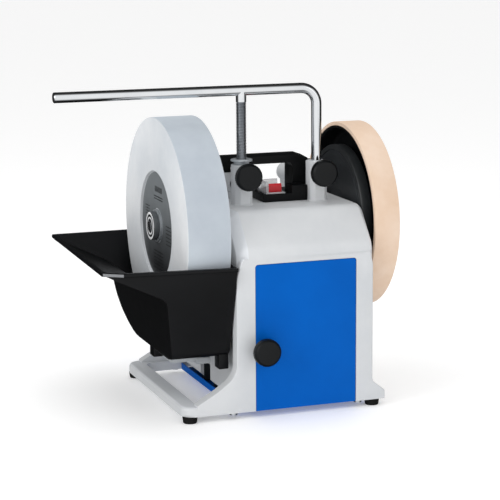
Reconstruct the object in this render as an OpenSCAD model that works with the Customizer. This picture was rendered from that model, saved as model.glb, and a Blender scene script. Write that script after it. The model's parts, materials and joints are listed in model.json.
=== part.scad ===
// Wet grinding sharpener: slow water-cooled stone on the left, leather honing
// wheel on the right, both on one shaft that a small motor turns by friction.
// X runs along the main shaft towards the honing wheel, Y away from the user,
// Z up from the bench. Millimetres.

/* [Shaft] */
// Height of the main shaft's axis above the bench
shaft_z = 205; // [195:1:225]
// Diameter of the main shaft
shaft_d = 12; // [10:0.5:14]

/* [Stone] */
// Diameter of the grinding stone
stone_d = 250; // [200:1:256]
// Width of the grinding stone
stone_w = 50; // [40:1:54]
// Gap between the stone and the housing's left side wall
stone_gap = 9; // [8:0.5:14]
// Depth of the recess in the stone's outer side
recess_depth = 3.4; // [1:0.1:6]
// Diameter of the label disc in that recess
label_d = 124; // [90:1:150]
// Diameter of the stone's clamping nut
stone_nut_d = 34; // [28:1:40]

/* [Honing wheel] */
// Outer diameter over the leather
honing_d = 220; // [200:1:232]
// Width of the honing wheel
honing_w = 31; // [26:1:38]
// Thickness of the leather
leather_t = 4.5; // [2:0.1:6]
// Gap between the housing's right wall and the honing wheel
honing_gap = 8.5; // [6:0.5:12]
// Outer diameter of the friction drive wheel
drive_d = 166; // [140:1:170]
// Thickness of the rubber tyre on the drive wheel
tyre_t = 6; // [3:0.5:9]

/* [Housing] */
// Left side wall's outer face, measured from the origin plane
left_x = -91; // [-100:1:-85]
// Right side wall's outer face
right_x = 70.5; // [66:0.5:80]
// Front face
front_y = -125; // [-135:1:-120]
// Rear face
back_y = 110; // [106:1:120]
// Height of the flat top
top_z = 231; // [229:1:236]
// Height where the front and rear slopes begin
slope_z = 191; // [180:1:196]
// How far the slopes lean in
slope_in = 34; // [20:1:36]
// Thickness of the cast walls
wall = 4; // [3:0.5:5]
// Depth of the front and rear flanges
flange = 14; // [10:1:16]
// How far the base frame reaches out to the left
outrigger = 66.5; // [60:0.5:72]
// Width of the frame's outer bar
bar_w = 18.5; // [14:0.5:22]
// Height of the frame's top above the bench
bar_top = 18.5; // [16:0.5:20]

/* [Feet and sheet] */
// Height of the rubber feet below the frame
foot_h = 7.5; // [5:0.5:10]
// Diameter of the rubber feet
foot_d = 17.5; // [14:0.5:20]
// Thickness of the folded body sheet
sheet_t = 1.5; // [1:0.1:2]
// Left edge of the front and rear panels
panel_x0 = -72; // [-78:1:-70]
// Right edge of the front and rear panels
panel_x1 = 49; // [46:1:54]
// Height of the panels' top edge
panel_top = 175; // [165:1:178]

/* [Tool support] */
// Diameter of the support's bar
bar_d = 12; // [10:0.5:13]
// Position of the threaded leg
leg_x0 = -59; // [-62:0.5:-56]
// Position of the smooth leg
leg_x1 = 33; // [32:0.5:38]
// Distance of both legs in front of the shaft
leg_y = -43; // [-45:0.5:-41]
// Height of the cross bar's axis
arm_z = 361.7; // [345:0.1:380]
// Free end of the cross bar
arm_end_x = -277; // [-300:1:-240]
// Bend radius of the bar's axis
bend_r = 19; // [14:0.5:26]
// Height of the sleeves' top
sleeve_top = 277; // [270:1:284]
// Width of each sleeve
sleeve_w = 21; // [20:0.5:23]
// How far the support can be raised
support_travel = 40; // [20:1:45]

/* [Knobs] */
// Diameter of the black knobs
knob_d = 31; // [24:0.5:34]
// Thickness of the knobs
knob_h = 12; // [8:0.5:14]
// Diameter of the micro-adjust nut
micro_d = 25; // [24:0.5:32]
// Diameter of the lock screws
lock_d = 8; // [6:0.5:9]

/* [Trough] */
// Height of the trough's rim
rim_z = 175; // [170:1:178]
// Front edge of the rim
trough_y0 = -133; // [-138:1:-132]
// Rear edge of the rim
trough_y1 = 151; // [145:1:158]
// Outer edge of the splash apron
apron_x = -241; // [-250:1:-230]
// Height of the trough's underside
trough_z = 61.5; // [58:0.5:64]
// Thickness of the trough's walls
trough_wall = 2.2; // [1.8:0.1:2.4]
// How far the trough can be lowered
trough_travel = 24; // [12:1:24]

/* [Motor] */
// Outer diameter of the motor's can
motor_d = 105; // [90:1:108]
// Length of the motor's can
motor_l = 76; // [66:1:80]
// Diameter of the motor's spindle
spindle_d = 10; // [8:0.5:12]
// Distance of the cradle's pivot behind the motor's axis
pivot_y = 75; // [70:1:78]

/* [Fits] */
// Radial clearance of a turning or sliding fit
run = 0.05; // [0.02:0.01:0.1]
// Gap between parts that stay clear of each other
gap = 0.3; // [0.2:0.05:0.4]

/* [Hidden] */
$fn = 64;

shaft_r = shaft_d / 2;
wall_in_left = left_x + wall;
wall_in_right = right_x - wall;
lip_x = left_x - 3.5;
frame_z = foot_h;
sheet_z = frame_z + sheet_t;

// Stone and its clamping
stone_x1 = left_x - stone_gap;
stone_x0 = stone_x1 - stone_w;
recess_x = stone_x0 + recess_depth;
label_t = 0.6;
washer_t = 3;
washer_x0 = recess_x - washer_t;
nut_l = 7;
nut_x0 = washer_x0 - nut_l;
flange_t = stone_gap - 3.5;

// Honing wheel and drive wheel
honing_x0 = right_x + honing_gap;
honing_x1 = honing_x0 + honing_w;
dish_r = honing_d / 2 - leather_t;
dish_wall = 5;
web_t = 5;
web_x1 = honing_x1 - 4;
web_x0 = web_x1 - web_t;
drive_r = drive_d / 2;
drive_x0 = right_x + 3.8;
drive_w = 13;
drive_x1 = drive_x0 + drive_w;
hub_r = 17;
honing_knob_d = 40;
honing_knob_l = 14;
shaft_x0 = nut_x0 - 1;
shaft_x1 = honing_x1 + 8;
honing_knob_x0 = web_x1 + 4;
honing_knob_x1 = honing_knob_x0 + honing_knob_l;

// Bushes
bush_r = 11;
bush_collar_r = 15;
boss_r = 19;
boss_l = 10;

// Motor
spindle_r = spindle_d / 2;
motor_z = shaft_z - drive_r - spindle_r - gap;
motor_r = motor_d / 2;
can_t = 2;
motor_x0 = -32;
motor_x1 = motor_x0 + motor_l;
core_x0 = motor_x0 + 17;
core_x1 = motor_x1 - 17;
rotor_r = 27;
stator_r0 = rotor_r + 0.5;
bearing_r = 13;
bearing_w = 8;
cap_t = 4;
cap_hub = 9;
cradle_t = 3;
cradle_x0 = motor_x0 - cap_t;
cradle_x1 = motor_x1 + cap_t;
pin_r = 4;
lug_w = 6;
lug_x0 = cradle_x0 - cradle_t - gap - lug_w;
lug_x1 = cradle_x1 + cradle_t + gap;
fan_x0 = cradle_x0 - cradle_t - 12;

// Sleeves and locks
bore_r = bar_d / 2 + run;
sleeve_half = sleeve_w / 2;
sleeve_back = 12;
sleeve_cut = 5;
lock_r = lock_d / 2;
lock_z = 265;
rear_sleeve_z = top_z + 20;
rear_sleeve_r = 11.5;
rear_sleeve_y1 = 60;
rear_left_y0 = -19;
rear_right_y0 = 18;
rear_lock_y = 45;
knob_stem = 6.5;
micro_h = 6.5;
micro_neck = 3.5;
leg_bottom = top_z - 26;

// Trough lift
lift_x = -64;
lift_z = 78;
lift_knob_y = front_y - 2 - gap;
gear_module = 1;
gear_teeth = 16;
gear_r = gear_module * gear_teeth / 2;
rack_x = lift_x - gear_r;
carriage_x0 = wall_in_left + gap;
carriage_x1 = rack_x - 3;
carriage_half = 18;
carriage_z0 = trough_travel + 10.5;
carriage_z1 = lift_z + 36;
tongue_z0 = trough_z - 22;
tongue_z1 = tongue_z0 + 7;
tongue_half = 16;
slot_half = tongue_half + 2;
magnet_r = 11;
magnet_t = 4;
guide_t = 6;
rim_lip = 2.5;
trough_x1 = stone_x1 + 4.6;

// Trough's sides: the left wall leans out, then the apron flares to the rim
tub_floor_x = stone_x0 - 10;
tub_knee_x = stone_x0 - 22;
knee_z = rim_z - 35;

// Plan of its rim: the front edge tapers back to a cut corner, and the apron narrows to the rear
apron_tip = 19.5;
front_taper = 15;
tip_y = 12.5;
back_taper = 6.5;
front_turn = atan(front_taper / (trough_x1 - apron_x - apron_tip));

// Handle and switch
handle_x0 = -82;
handle_x1 = 31.7;
handle_y0 = -20;
handle_y1 = 8;
grip_z0 = 272.5;
grip_z1 = 282;
pad_z = top_z + 34;
base_x0 = -32;
base_x1 = leg_x1 - sleeve_half - 0.7;
base_low = top_z + 9;
base_high = top_z + 18;
rocker_x0 = -24;
rocker_x1 = -8;
rocker_z = base_low - 3;

// Colours
c_silver = [0.78, 0.79, 0.80];
c_blue = [0.02, 0.36, 0.74];
c_black = [0.09, 0.09, 0.10];
c_steel = [0.72, 0.73, 0.75];
c_zinc = [0.66, 0.69, 0.72];
c_dark = [0.25, 0.27, 0.28];

// Everything is built about the main shaft's foot on the bench, then moved so
// that the whole machine stands centred over its own origin.
place_x = -(arm_end_x + honing_knob_x1) / 2;
place_y = -(lift_knob_y - knob_stem - knob_h + trough_y1 + rim_lip) / 2;
module placed() translate([place_x, place_y, 0]) children();

// ---- Helpers -------------------------------------------------------------

// A box from its lowest to its highest corner
module block(lo, hi) translate(lo) cube(hi - lo);

// A rod or a tube along X, Y or Z
module rod_x(x0, x1, r, y = 0, z = shaft_z)
    translate([x0, y, z]) rotate([0, 90, 0]) cylinder(h = x1 - x0, r = r);
module rod_y(y0, y1, r, x, z)
    translate([x, y1, z]) rotate([90, 0, 0]) cylinder(h = y1 - y0, r = r);
module rod_z(z0, z1, r, x, y)
    translate([x, y, z0]) cylinder(h = z1 - z0, r = r);
module tube_x(x0, x1, r, r_in, y = 0, z = shaft_z) difference() {
    rod_x(x0, x1, r, y, z);
    rod_x(x0 - 1, x1 + 1, r_in, y, z);
}

// Turn about an axis along X at height z
module rotate_about(z, a) translate([0, 0, z]) rotate([a, 0, 0])
    translate([0, 0, -z]) children();

// A drawing in (y, z) made solid along X, and one in (x, z) along Y
module along_x(x0, x1) translate([x0, 0, 0]) rotate([90, 0, 90])
    linear_extrude(x1 - x0) children();
module along_y(y0, y1) translate([0, y1, 0]) rotate([90, 0, 0])
    linear_extrude(y1 - y0) children();

// A rectangle with round corners, from corner to corner
module round_rect(lo, hi, r) {
    translate([lo.x + r, lo.y]) square([hi.x - lo.x - 2 * r, hi.y - lo.y]);
    translate([lo.x, lo.y + r]) square([hi.x - lo.x, hi.y - lo.y - 2 * r]);
    for (x = [lo.x + r, hi.x - r], y = [lo.y + r, hi.y - r])
        translate([x, y]) circle(r);
}

// ---- Housing ------------------------------------------------------------

function housing_outline(t, floor_z) = [
    [front_y + t, floor_z],
    [front_y + t, slope_z - t * 0.4],
    [front_y + slope_in + t * 0.4, top_z - t],
    [back_y - slope_in - t * 0.4, top_z - t],
    [back_y - t, slope_z - t * 0.4],
    [back_y - t, floor_z]
];

// Front or rear flange seen from the front: it flares out at the foot
module flange_outline() {
    polygon([
        [left_x + 1, slope_z - 3], [lip_x + 1.5, slope_z - 3], [lip_x, slope_z - 6],
        [lip_x, 50], [lip_x - 22.5, 33.5], [lip_x - 47, bar_top + 3],
        [left_x - outrigger, bar_top], [left_x - outrigger, frame_z],
        [panel_x0 - 0.5, frame_z], [panel_x0 - 0.5, sheet_z + 30], [left_x + 1, 60]
    ]);
    polygon([
        [panel_x1 + 0.5, frame_z], [right_x + 15.5, frame_z], [right_x + 15.5, 17],
        [right_x + 14, 18.5], [right_x, 29], [right_x - 1, 60],
        [panel_x1 + 0.5, sheet_z + 30]
    ]);
}

module frame_plan() {
    round_rect([left_x - outrigger, front_y], [right_x, back_y], 16);
    round_rect([left_x, front_y], [right_x + 15.5, back_y], 3);
}

module base_frame() {
    // flared flanges, rounded at the corners of the plan
    intersection() {
        union() {
            along_y(front_y, front_y + flange) flange_outline();
            along_y(back_y - flange, back_y) flange_outline();
        }
        translate([0, 0, frame_z]) linear_extrude(top_z) frame_plan();
    }
    // the outrigger that carries the splash side
    translate([0, 0, frame_z]) linear_extrude(bar_top - frame_z) intersection() {
        difference() {
            frame_plan();
            round_rect([left_x - outrigger + bar_w, front_y + flange],
                [left_x + 40, back_y - 20], 8);
        }
        translate([left_x - outrigger, front_y])
            square([outrigger, back_y - front_y]);
    }
}

module sleeve(x) difference() {
    translate([x, leg_y, top_z - 1]) linear_extrude(sleeve_top - top_z + 1) polygon([
        [-sleeve_half + sleeve_cut, -sleeve_back], [sleeve_half - sleeve_cut, -sleeve_back],
        [sleeve_half, -sleeve_back + sleeve_cut], [sleeve_half, sleeve_back - sleeve_cut],
        [sleeve_half - sleeve_cut, sleeve_back], [-sleeve_half + sleeve_cut, sleeve_back],
        [-sleeve_half, sleeve_back - sleeve_cut], [-sleeve_half, -sleeve_back + sleeve_cut]
    ]);
    rod_y(leg_y - sleeve_back - 1, leg_y, lock_r + run, x, lock_z);
}

module rear_sleeve(x, y0, side) difference() {
    union() {
        rod_y(y0, rear_sleeve_y1, rear_sleeve_r, x, rear_sleeve_z);
        block([x - 7, y0, top_z - 1], [x + 7, rear_sleeve_y1, rear_sleeve_z]);
    }
    rod_x(min(x, x + side * 20), max(x, x + side * 20), lock_r + run,
        rear_lock_y, rear_sleeve_z);
}

// Lug for the cradle's pivot pin, hanging from the top
module pivot_lug(x) {
    block([x, pivot_y - 9, motor_z - 10], [x + lug_w, pivot_y + 9, slope_z + 4]);
    block([x, pivot_y - 9, slope_z], [x + lug_w, back_y - slope_in - 3, top_z - wall]);
}

module housing() color(c_silver) difference() {
    union() {
        difference() {
            along_x(left_x, right_x) polygon(housing_outline(0, frame_z));
            along_x(wall_in_left, wall_in_right) polygon(housing_outline(wall, 0));
            // windows for the front and rear panels
            block([panel_x0 - 0.5, front_y - 1, 0], [panel_x1 + 0.5, back_y + 1, panel_top + 0.5]);
            // room for the folded sheet under the side walls
            block([left_x - 1, front_y + flange, 0], [right_x + 1, back_y - flange, sheet_z]);
        }
        base_frame();
        for (x = [leg_x0, leg_x1]) sleeve(x);
        rear_sleeve(leg_x0, rear_left_y0, -1);
        rear_sleeve(leg_x1, rear_right_y0, 1);
        // pad under the handle's left leg
        block([handle_x0, handle_y0 + 1, rear_sleeve_z + 4], [leg_x0 + 5, handle_y1, pad_z]);
        rod_x(wall_in_left - 1, wall_in_left + boss_l, boss_r);
        rod_x(wall_in_right - boss_l, wall_in_right + 1, boss_r);
        pivot_lug(lug_x0);
        pivot_lug(lug_x1);
    }
    // shaft bushes, spindle, carriage slot and pivot pin
    rod_x(left_x - 1, wall_in_left + boss_l + 1, bush_r);
    rod_x(wall_in_right - boss_l - 1, right_x + 1, bush_r);
    rod_x(wall_in_right - 1, right_x + 1, spindle_r + 7, 0, motor_z);
    block([left_x - 5, -slot_half, sheet_z + 1], [wall_in_left + 1, slot_half, tongue_z1 + 4]);
    rod_x(lug_x0 - 1, lug_x1 + lug_w + 1, pin_r + run, pivot_y, motor_z);
    // bores for the tool support, upright and lying back
    for (x = [leg_x0, leg_x1]) rod_z(top_z - wall - 2, sleeve_top + 1, bore_r, x, leg_y);
    rod_y(rear_left_y0 - 1, rear_sleeve_y1 + 1, bore_r, leg_x0, rear_sleeve_z);
    rod_y(rear_right_y0 - 1, rear_sleeve_y1 + 1, bore_r, leg_x1, rear_sleeve_z);
    // way for the switch's leads
    rod_z(top_z - wall - 1, top_z + 1, 6, (rocker_x0 + rocker_x1) / 2, -10);
    // screw holes
    for (p = foot_places()) rod_z(frame_z - 1, frame_z + 7, foot_screw_r, p.x, p.y);
    for (p = sheet_screw_places()) rod_z(frame_z - 1, frame_z + 7, sheet_screw_r, p.x, p.y);
    for (x = handle_screw_x) rod_z(top_z - wall - 1, top_z + 1, handle_screw_r, x, handle_screw_y);
    rod_z(pad_z - 10, pad_z + 1, handle_screw_r, handle_x0 + 9, handle_screw_y);
}

// ---- Folded sheet, feet and screws ---------------------------------------

foot_screw_r = 2.5;
foot_in = 9.5;
function foot_places() = [
    [left_x - outrigger + foot_in, front_y + foot_in - 1.5],
    [left_x - outrigger + foot_in, back_y - foot_in - 1],
    [right_x + 2, front_y + foot_in - 1.5],
    [right_x + 2, back_y - foot_in - 1]
];
sheet_screw_r = 2;
function sheet_screw_places() = [
    for (x = [left_x - 6, right_x - 16], y = [front_y + 7, back_y - 7]) [x, y]
];

module body_sheet() color(c_blue) difference() {
    union() {
        along_y(front_y + 0.4, front_y + 0.4 + sheet_t)
            round_rect([panel_x0, frame_z], [panel_x1, panel_top], 3);
        along_y(back_y - 0.4 - sheet_t, back_y - 0.4)
            round_rect([panel_x0, frame_z], [panel_x1, panel_top], 3);
        block([panel_x0, front_y + 0.4, frame_z], [panel_x1, back_y - 0.4, sheet_z]);
        block([left_x - gap - sheet_t, front_y + flange + gap, frame_z],
            [right_x, back_y - 20 - gap, sheet_z]);
        // lip turned up outside the left wall
        block([left_x - gap - sheet_t, front_y + flange + gap, frame_z],
            [left_x - gap, back_y - 20 - gap, frame_z + 7.5]);
    }
    rod_y(front_y - 1, front_y + 5, lift_bush_r, lift_x, lift_z);
    rod_y(back_y - 5, back_y + 1, gland_r, gland_x, gland_z);
    // cooling louvres in the rear panel and the bottom
    for (i = [0 : 7]) block([-40, back_y - 5, 95 + 8 * i], [30, back_y + 1, 98 + 8 * i]);
    for (i = [0 : 7]) block([-40 + 10 * i, -40, 0], [-36 + 10 * i, 40, 20]);
}

module screw(r_head, h_head, r, l) {
    translate([0, 0, -h_head]) cylinder(h = h_head, r = r_head);
    cylinder(h = l, r = r);
}

module sheet_screws() color(c_steel) for (p = sheet_screw_places())
    translate([p.x, p.y, frame_z]) screw(4.5, 3, sheet_screw_r, 6);

module rubber_feet() color(c_black) for (p = foot_places()) translate([p.x, p.y, 0])
    difference() {
        cylinder(h = foot_h, r1 = foot_d / 2 - 1, r2 = foot_d / 2);
        translate([0, 0, -1]) cylinder(h = 3.5, r = 5.2);
        cylinder(h = foot_h + 1, r = foot_screw_r);
    }

module feet_screws() color(c_steel) for (p = foot_places())
    translate([p.x, p.y, 2.5]) screw(5, 1.6, foot_screw_r, foot_h + 3.5);

module shaft_bush(x0, x1, collar_x0) difference() {
    union() {
        rod_x(x0, x1, bush_r);
        rod_x(collar_x0, collar_x0 + 2, bush_collar_r);
    }
    rod_x(x0 - 5, x1 + 5, shaft_r + run);
}
module shaft_bush_left() color("ivory")
    shaft_bush(left_x - 1, wall_in_left + boss_l + 2, wall_in_left + boss_l);
module shaft_bush_right() color("ivory")
    shaft_bush(wall_in_right - boss_l - 2, right_x + 1, wall_in_right - boss_l - 2);

// ---- Handle and switch -----------------------------------------------------

handle_screw_r = 2.5;
handle_screw_y = -6;
handle_screw_x = [handle_x1 - 10];
leg_w_left = 18;
leg_w_right = 19;

module handle_profile() polygon([
    [handle_x0, pad_z], [handle_x0 + leg_w_left, pad_z],
    [handle_x0 + leg_w_left, grip_z0 - 2], [handle_x0 + leg_w_left + 2, grip_z0],
    [handle_x1 - leg_w_right - 3, grip_z0], [handle_x1 - leg_w_right, grip_z0 - 4],
    [handle_x1 - leg_w_right, top_z], [handle_x1, top_z],
    [handle_x1, grip_z1 - 5], [handle_x1 - 9, grip_z1],
    [handle_x0 + 2, grip_z1], [handle_x0, grip_z1 - 2]
]);

module handle_holes() {
    for (x = handle_screw_x) rod_z(top_z - 1, top_z + 14, handle_screw_r, x, handle_screw_y);
    rod_z(pad_z - 1, pad_z + 9, handle_screw_r, handle_x0 + 9, handle_screw_y);
}

// Grip with its two legs
module handle() color(c_black) difference() {
    along_y(handle_y0, handle_y1) handle_profile();
    handle_holes();
}

// Foot of the handle, which carries the switch
module handle_base() color(c_black) difference() {
    union() {
        block([base_x0, leg_y, top_z], [base_x1, handle_y1, base_low]);
        block([base_x1 - 19, leg_y, top_z], [base_x1, handle_y0 + 1, base_high]);
    }
    along_y(handle_y0, handle_y1) handle_profile();
    block([rocker_x0 - 2, -40, top_z - 1], [rocker_x1 + 2, -16, base_low + 1]);
    handle_holes();
}

module handle_screws() color(c_steel) {
    for (x = handle_screw_x) translate([x, handle_screw_y, top_z - wall])
        screw(5, 3, handle_screw_r, wall + 12);
    translate([handle_x0 + 9, handle_screw_y, pad_z - 9]) cylinder(h = 17, r = handle_screw_r);
}

// The switch drops into the pocket in the handle's foot
module switch_body() color(c_dark) {
    difference() {
        block([rocker_x0 - 2, -40, top_z], [rocker_x1 + 2, -16, base_low]);
        block([rocker_x0 - gap, -38.5, top_z + 1.5], [rocker_x1 + gap, -17.5, base_low + 1]);
    }
    rod_x(rocker_x0 - 1, rocker_x1 + 1, 1, -28, rocker_z);
}
// Clear splash frame, high behind the rocker and on its left
module switch_bezel() color([0.85, 0.86, 0.88, 0.6]) difference() {
    union() {
        block([rocker_x0 - 5, -42, base_low], [rocker_x1 + 3, -13.5, base_low + 2]);
        block([rocker_x0 - 5, -42, base_low], [rocker_x0 - 1.5, -13.5, base_low + 14]);
        block([rocker_x0 - 5, -16, base_low], [rocker_x1 + 3, -13.5, base_low + 14]);
    }
    block([rocker_x0 - gap, -39.5, base_low - 1], [rocker_x1 + gap, -17.5, base_low + 3]);
}
module rocker() color([0.75, 0.1, 0.12]) difference() {
    along_x(rocker_x0, rocker_x1) polygon([
        [-37.5, base_low + 9], [-36, base_low + 11.5], [-28, base_low + 7.5],
        [-20, base_low + 5.5], [-18.6, base_low + 3], [-20, base_low - 2],
        [-24, rocker_z - 2.5], [-32, rocker_z - 2.5], [-36.5, base_low - 2]
    ]);
    rod_x(rocker_x0 - 1, rocker_x1 + 1, 1 + run, -28, rocker_z);
}

// ---- Electrics ---------------------------------------------------------------

cap_r = 15;
cap_x = -52;
cap_y = 82;
cap_z = 30;
module capacitor() color([0.85, 0.85, 0.83]) {
    rod_z(cap_z, cap_z + 62, cap_r, cap_x, cap_y);
    for (dx = [-5, 5]) rod_z(cap_z + 62, cap_z + 70, 1.5, cap_x + dx, cap_y);
}
module capacitor_clip() color(c_steel) difference() {
    union() {
        rod_z(cap_z + 20, cap_z + 34, cap_r + 1.2, cap_x, cap_y);
        block([cap_x - 12, cap_y + 12, cap_z + 20],
            [cap_x + 12, back_y - 0.4 - sheet_t, cap_z + 34]);
    }
    rod_z(cap_z + 19, cap_z + 35, cap_r, cap_x, cap_y);
}
module terminal_block() color("ivory") difference() {
    block([-10, 88, sheet_z], [34, 104, sheet_z + 18]);
    for (i = [0 : 3]) rod_z(sheet_z + 8, sheet_z + 19, 2.5, -4 + 10.6 * i, 96);
}
gland_x = 32;
gland_z = 45;
gland_r = 8;
module cord_gland() color(c_black) difference() {
    union() {
        rod_y(back_y - 10, back_y - 0.4, gland_r, gland_x, gland_z);
        rod_y(back_y - 0.4, back_y + 4, 12, gland_x, gland_z);
        rod_y(back_y + 4, back_y + 14, 9, gland_x, gland_z);
        rod_y(back_y - 12, back_y - 0.4 - sheet_t, 11, gland_x, gland_z);
    }
    rod_y(back_y - 13, back_y + 15, 4, gland_x, gland_z);
}

// ---- Motor cradle and its pivot -----------------------------------------------

module pivot_pin() color(c_steel) difference() {
    rod_x(lug_x0 - 4, lug_x1 + lug_w + 4, pin_r, pivot_y, motor_z);
    for (x = [lug_x0 - 2.5, lug_x1 + lug_w + 1.5])
        tube_x(x, x + 1, pin_r + 1, pin_r - 1, pivot_y, motor_z);
}
module pivot_clips() color(c_steel) for (x = [lug_x0 - 2.5, lug_x1 + lug_w + 1.5])
    tube_x(x + run, x + 1 - run, pin_r + 3, pin_r - 1 + run, pivot_y, motor_z);

spring_turns = 7;
spring_wire = 2.4;
spring_in = pin_r + 1;
spring_x0 = cradle_x0 + 8;
module torsion_spring() color(c_zinc) {
    // close-wound body: one ring of wire for each turn
    translate([spring_x0, pivot_y, motor_z]) rotate([0, 90, 0]) rotate_extrude()
        for (i = [0 : spring_turns - 1])
            translate([spring_in + spring_wire / 2, (i + 0.5) * (spring_wire - 0.2)])
                circle(d = spring_wire, $fn = 24);
    // the leg that bears on the housing's top
    rod_z(motor_z, top_z - wall, spring_wire / 2, spring_x0 + spring_wire / 2,
        pivot_y - spring_in - spring_wire / 2);
}

// Each end plate hangs on the pivot and is bolted to the motor's end cap
module cradle_plate(x) difference() {
    along_x(x, x + cradle_t) union() {
        translate([0, motor_z]) circle(30);
        translate([pivot_y, motor_z]) circle(10);
        translate([0, motor_z - 10]) square([pivot_y, 20]);
    }
    rod_x(x - 1, x + cradle_t + 1, pin_r + run, pivot_y, motor_z);
    rod_x(x - 1, x + cradle_t + 1, bearing_r + 3, 0, motor_z);
}
module motor_cradle() color(c_zinc) {
    cradle_plate(cradle_x0 - cradle_t);
    cradle_plate(cradle_x1);
    block([cradle_x0 - cradle_t, pivot_y - 17, motor_z - 10],
        [cradle_x1 + cradle_t, pivot_y - 15, motor_z + 10]);
}
module motor_can() color(c_dark)
    tube_x(motor_x0, motor_x1, motor_r, motor_r - can_t, 0, motor_z);
module end_cap(x0, x1, hub0, hub1) difference() {
    union() {
        rod_x(x0, x1, motor_r, 0, motor_z);
        rod_x(hub0, hub1, bearing_r + 2.5, 0, motor_z);
    }
    rod_x(hub0 - 1, hub1 + 1, bearing_r, 0, motor_z);
    for (a = [0 : 45 : 315]) rotate_about(motor_z, a)
        rod_x(x0 - 1, x1 + 1, 5, 0, motor_z + 39);
}
module motor_end_caps() color("silver") {
    end_cap(motor_x0 - cap_t, motor_x0, motor_x0 - cap_t, motor_x0 + cap_hub - cap_t);
    end_cap(motor_x1, motor_x1 + cap_t, motor_x1 - cap_hub + cap_t, motor_x1 + cap_t);
}
module stator() color(c_steel) difference() {
    rod_x(core_x0, core_x1, motor_r - can_t, 0, motor_z);
    rod_x(core_x0 - 1, core_x1 + 1, stator_r0, 0, motor_z);
}
module windings() color([0.72, 0.38, 0.15]) for (x = [core_x0 - 11, core_x1])
    tube_x(x, x + 11, motor_r - can_t - 4, stator_r0 + 3, 0, motor_z);
module motor_bearings() color(c_steel)
    for (x = [motor_x0 - cap_t, motor_x1 + cap_t - bearing_w])
        tube_x(x, x + bearing_w, bearing_r, spindle_r + run, 0, motor_z);
module rotor_core() color(c_steel)
    tube_x(core_x0, core_x1, rotor_r, spindle_r, 0, motor_z);
module motor_spindle() color("silver")
    rod_x(fan_x0 - 2, drive_x1 + 1, spindle_r, 0, motor_z);
module cooling_fan() color(c_black) {
    tube_x(fan_x0, fan_x0 + 10, 9, spindle_r, 0, motor_z);
    tube_x(fan_x0, fan_x0 + 2, 38, 8.5, 0, motor_z);
    for (a = [0 : 40 : 320]) rotate_about(motor_z, a)
        block([fan_x0 + 1, -1, motor_z + 8], [fan_x0 + 9, 1, motor_z + 36]);
}

// ---- Main shaft, stone and wheels -------------------------------------------

clip_w = 1.2;
clip_places = [wall_in_left + boss_l + 2.3, wall_in_right - boss_l - 2.3 - clip_w];
key_x = drive_x0 + 4;
module main_shaft() color("silver") difference() {
    rod_x(shaft_x0, shaft_x1, shaft_r);
    for (x = clip_places) tube_x(x, x + clip_w, shaft_r + 1, shaft_r - 1);
}
module shaft_clips() color(c_steel) for (x = clip_places)
    tube_x(x + 0.1, x + clip_w - 0.1, shaft_r + 3.5, shaft_r - 1);
module grinding_stone() color([0.82, 0.84, 0.86]) difference() {
    rod_x(stone_x0, stone_x1, stone_d / 2, $fn = 128);
    rod_x(stone_x0 - 1, recess_x, label_d / 2 + 0.5);
    rod_x(stone_x0 - 1, stone_x1 + 1, shaft_r + run);
}
module stone_label() color([0.45, 0.46, 0.47])
    tube_x(recess_x - label_t, recess_x, label_d / 2, 20);
module inner_flange() color(c_zinc)
    tube_x(stone_x1, stone_x1 + flange_t, 26, shaft_r);
module outer_washer() color(c_zinc)
    tube_x(washer_x0, recess_x, 19, shaft_r);
module stone_nut() color("silver") difference() {
    union() {
        rod_x(nut_x0, washer_x0 - gap, stone_nut_d / 2 - 1.5);
        for (a = [0 : 60 : 300]) rotate_about(shaft_z, a)
            rod_x(nut_x0, washer_x0 - gap, 5, 0, shaft_z + stone_nut_d / 2 - 5);
    }
    rod_x(nut_x0 - 1, washer_x0 + 1, shaft_r + run);
}
module drive_wheel() color(c_dark) difference() {
    union() {
        rod_x(drive_x0 + 3, drive_x0 + 8, drive_r - tyre_t);
        tube_x(drive_x0, drive_x1, drive_r - tyre_t, drive_r - tyre_t - 7);
        rod_x(drive_x0, drive_x1, hub_r);
    }
    rod_x(drive_x0 - 1, drive_x1 + 1, shaft_r);
}
module drive_tyre() color(c_black)
    tube_x(drive_x0, drive_x1, drive_r, drive_r - tyre_t);
module honing_dish() color(c_black) difference() {
    union() {
        tube_x(honing_x0, honing_x1, dish_r, dish_r - dish_wall);
        rod_x(web_x0, web_x1, dish_r - dish_wall + 1);
        rod_x(drive_x1, honing_knob_x0, hub_r);
    }
    rod_x(drive_x1 - 1, honing_knob_x0 + 1, shaft_r + run);
}
module honing_leather() color([0.90, 0.80, 0.70])
    tube_x(honing_x0, honing_x1, honing_d / 2, dish_r, $fn = 128);
module honing_knob() color(c_black) difference() {
    along_x(honing_knob_x0 + gap, honing_knob_x1) translate([0, shaft_z]) {
        circle(honing_knob_d / 2 - 4);
        for (a = [0 : 72 : 288]) rotate(a + 18) translate([honing_knob_d / 2 - 6, 0]) circle(6);
    }
    rod_x(honing_knob_x0 - 1, shaft_x1 + 0.5, shaft_r + run);
}

// ---- Tool support and its locks --------------------------------------------

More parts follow.
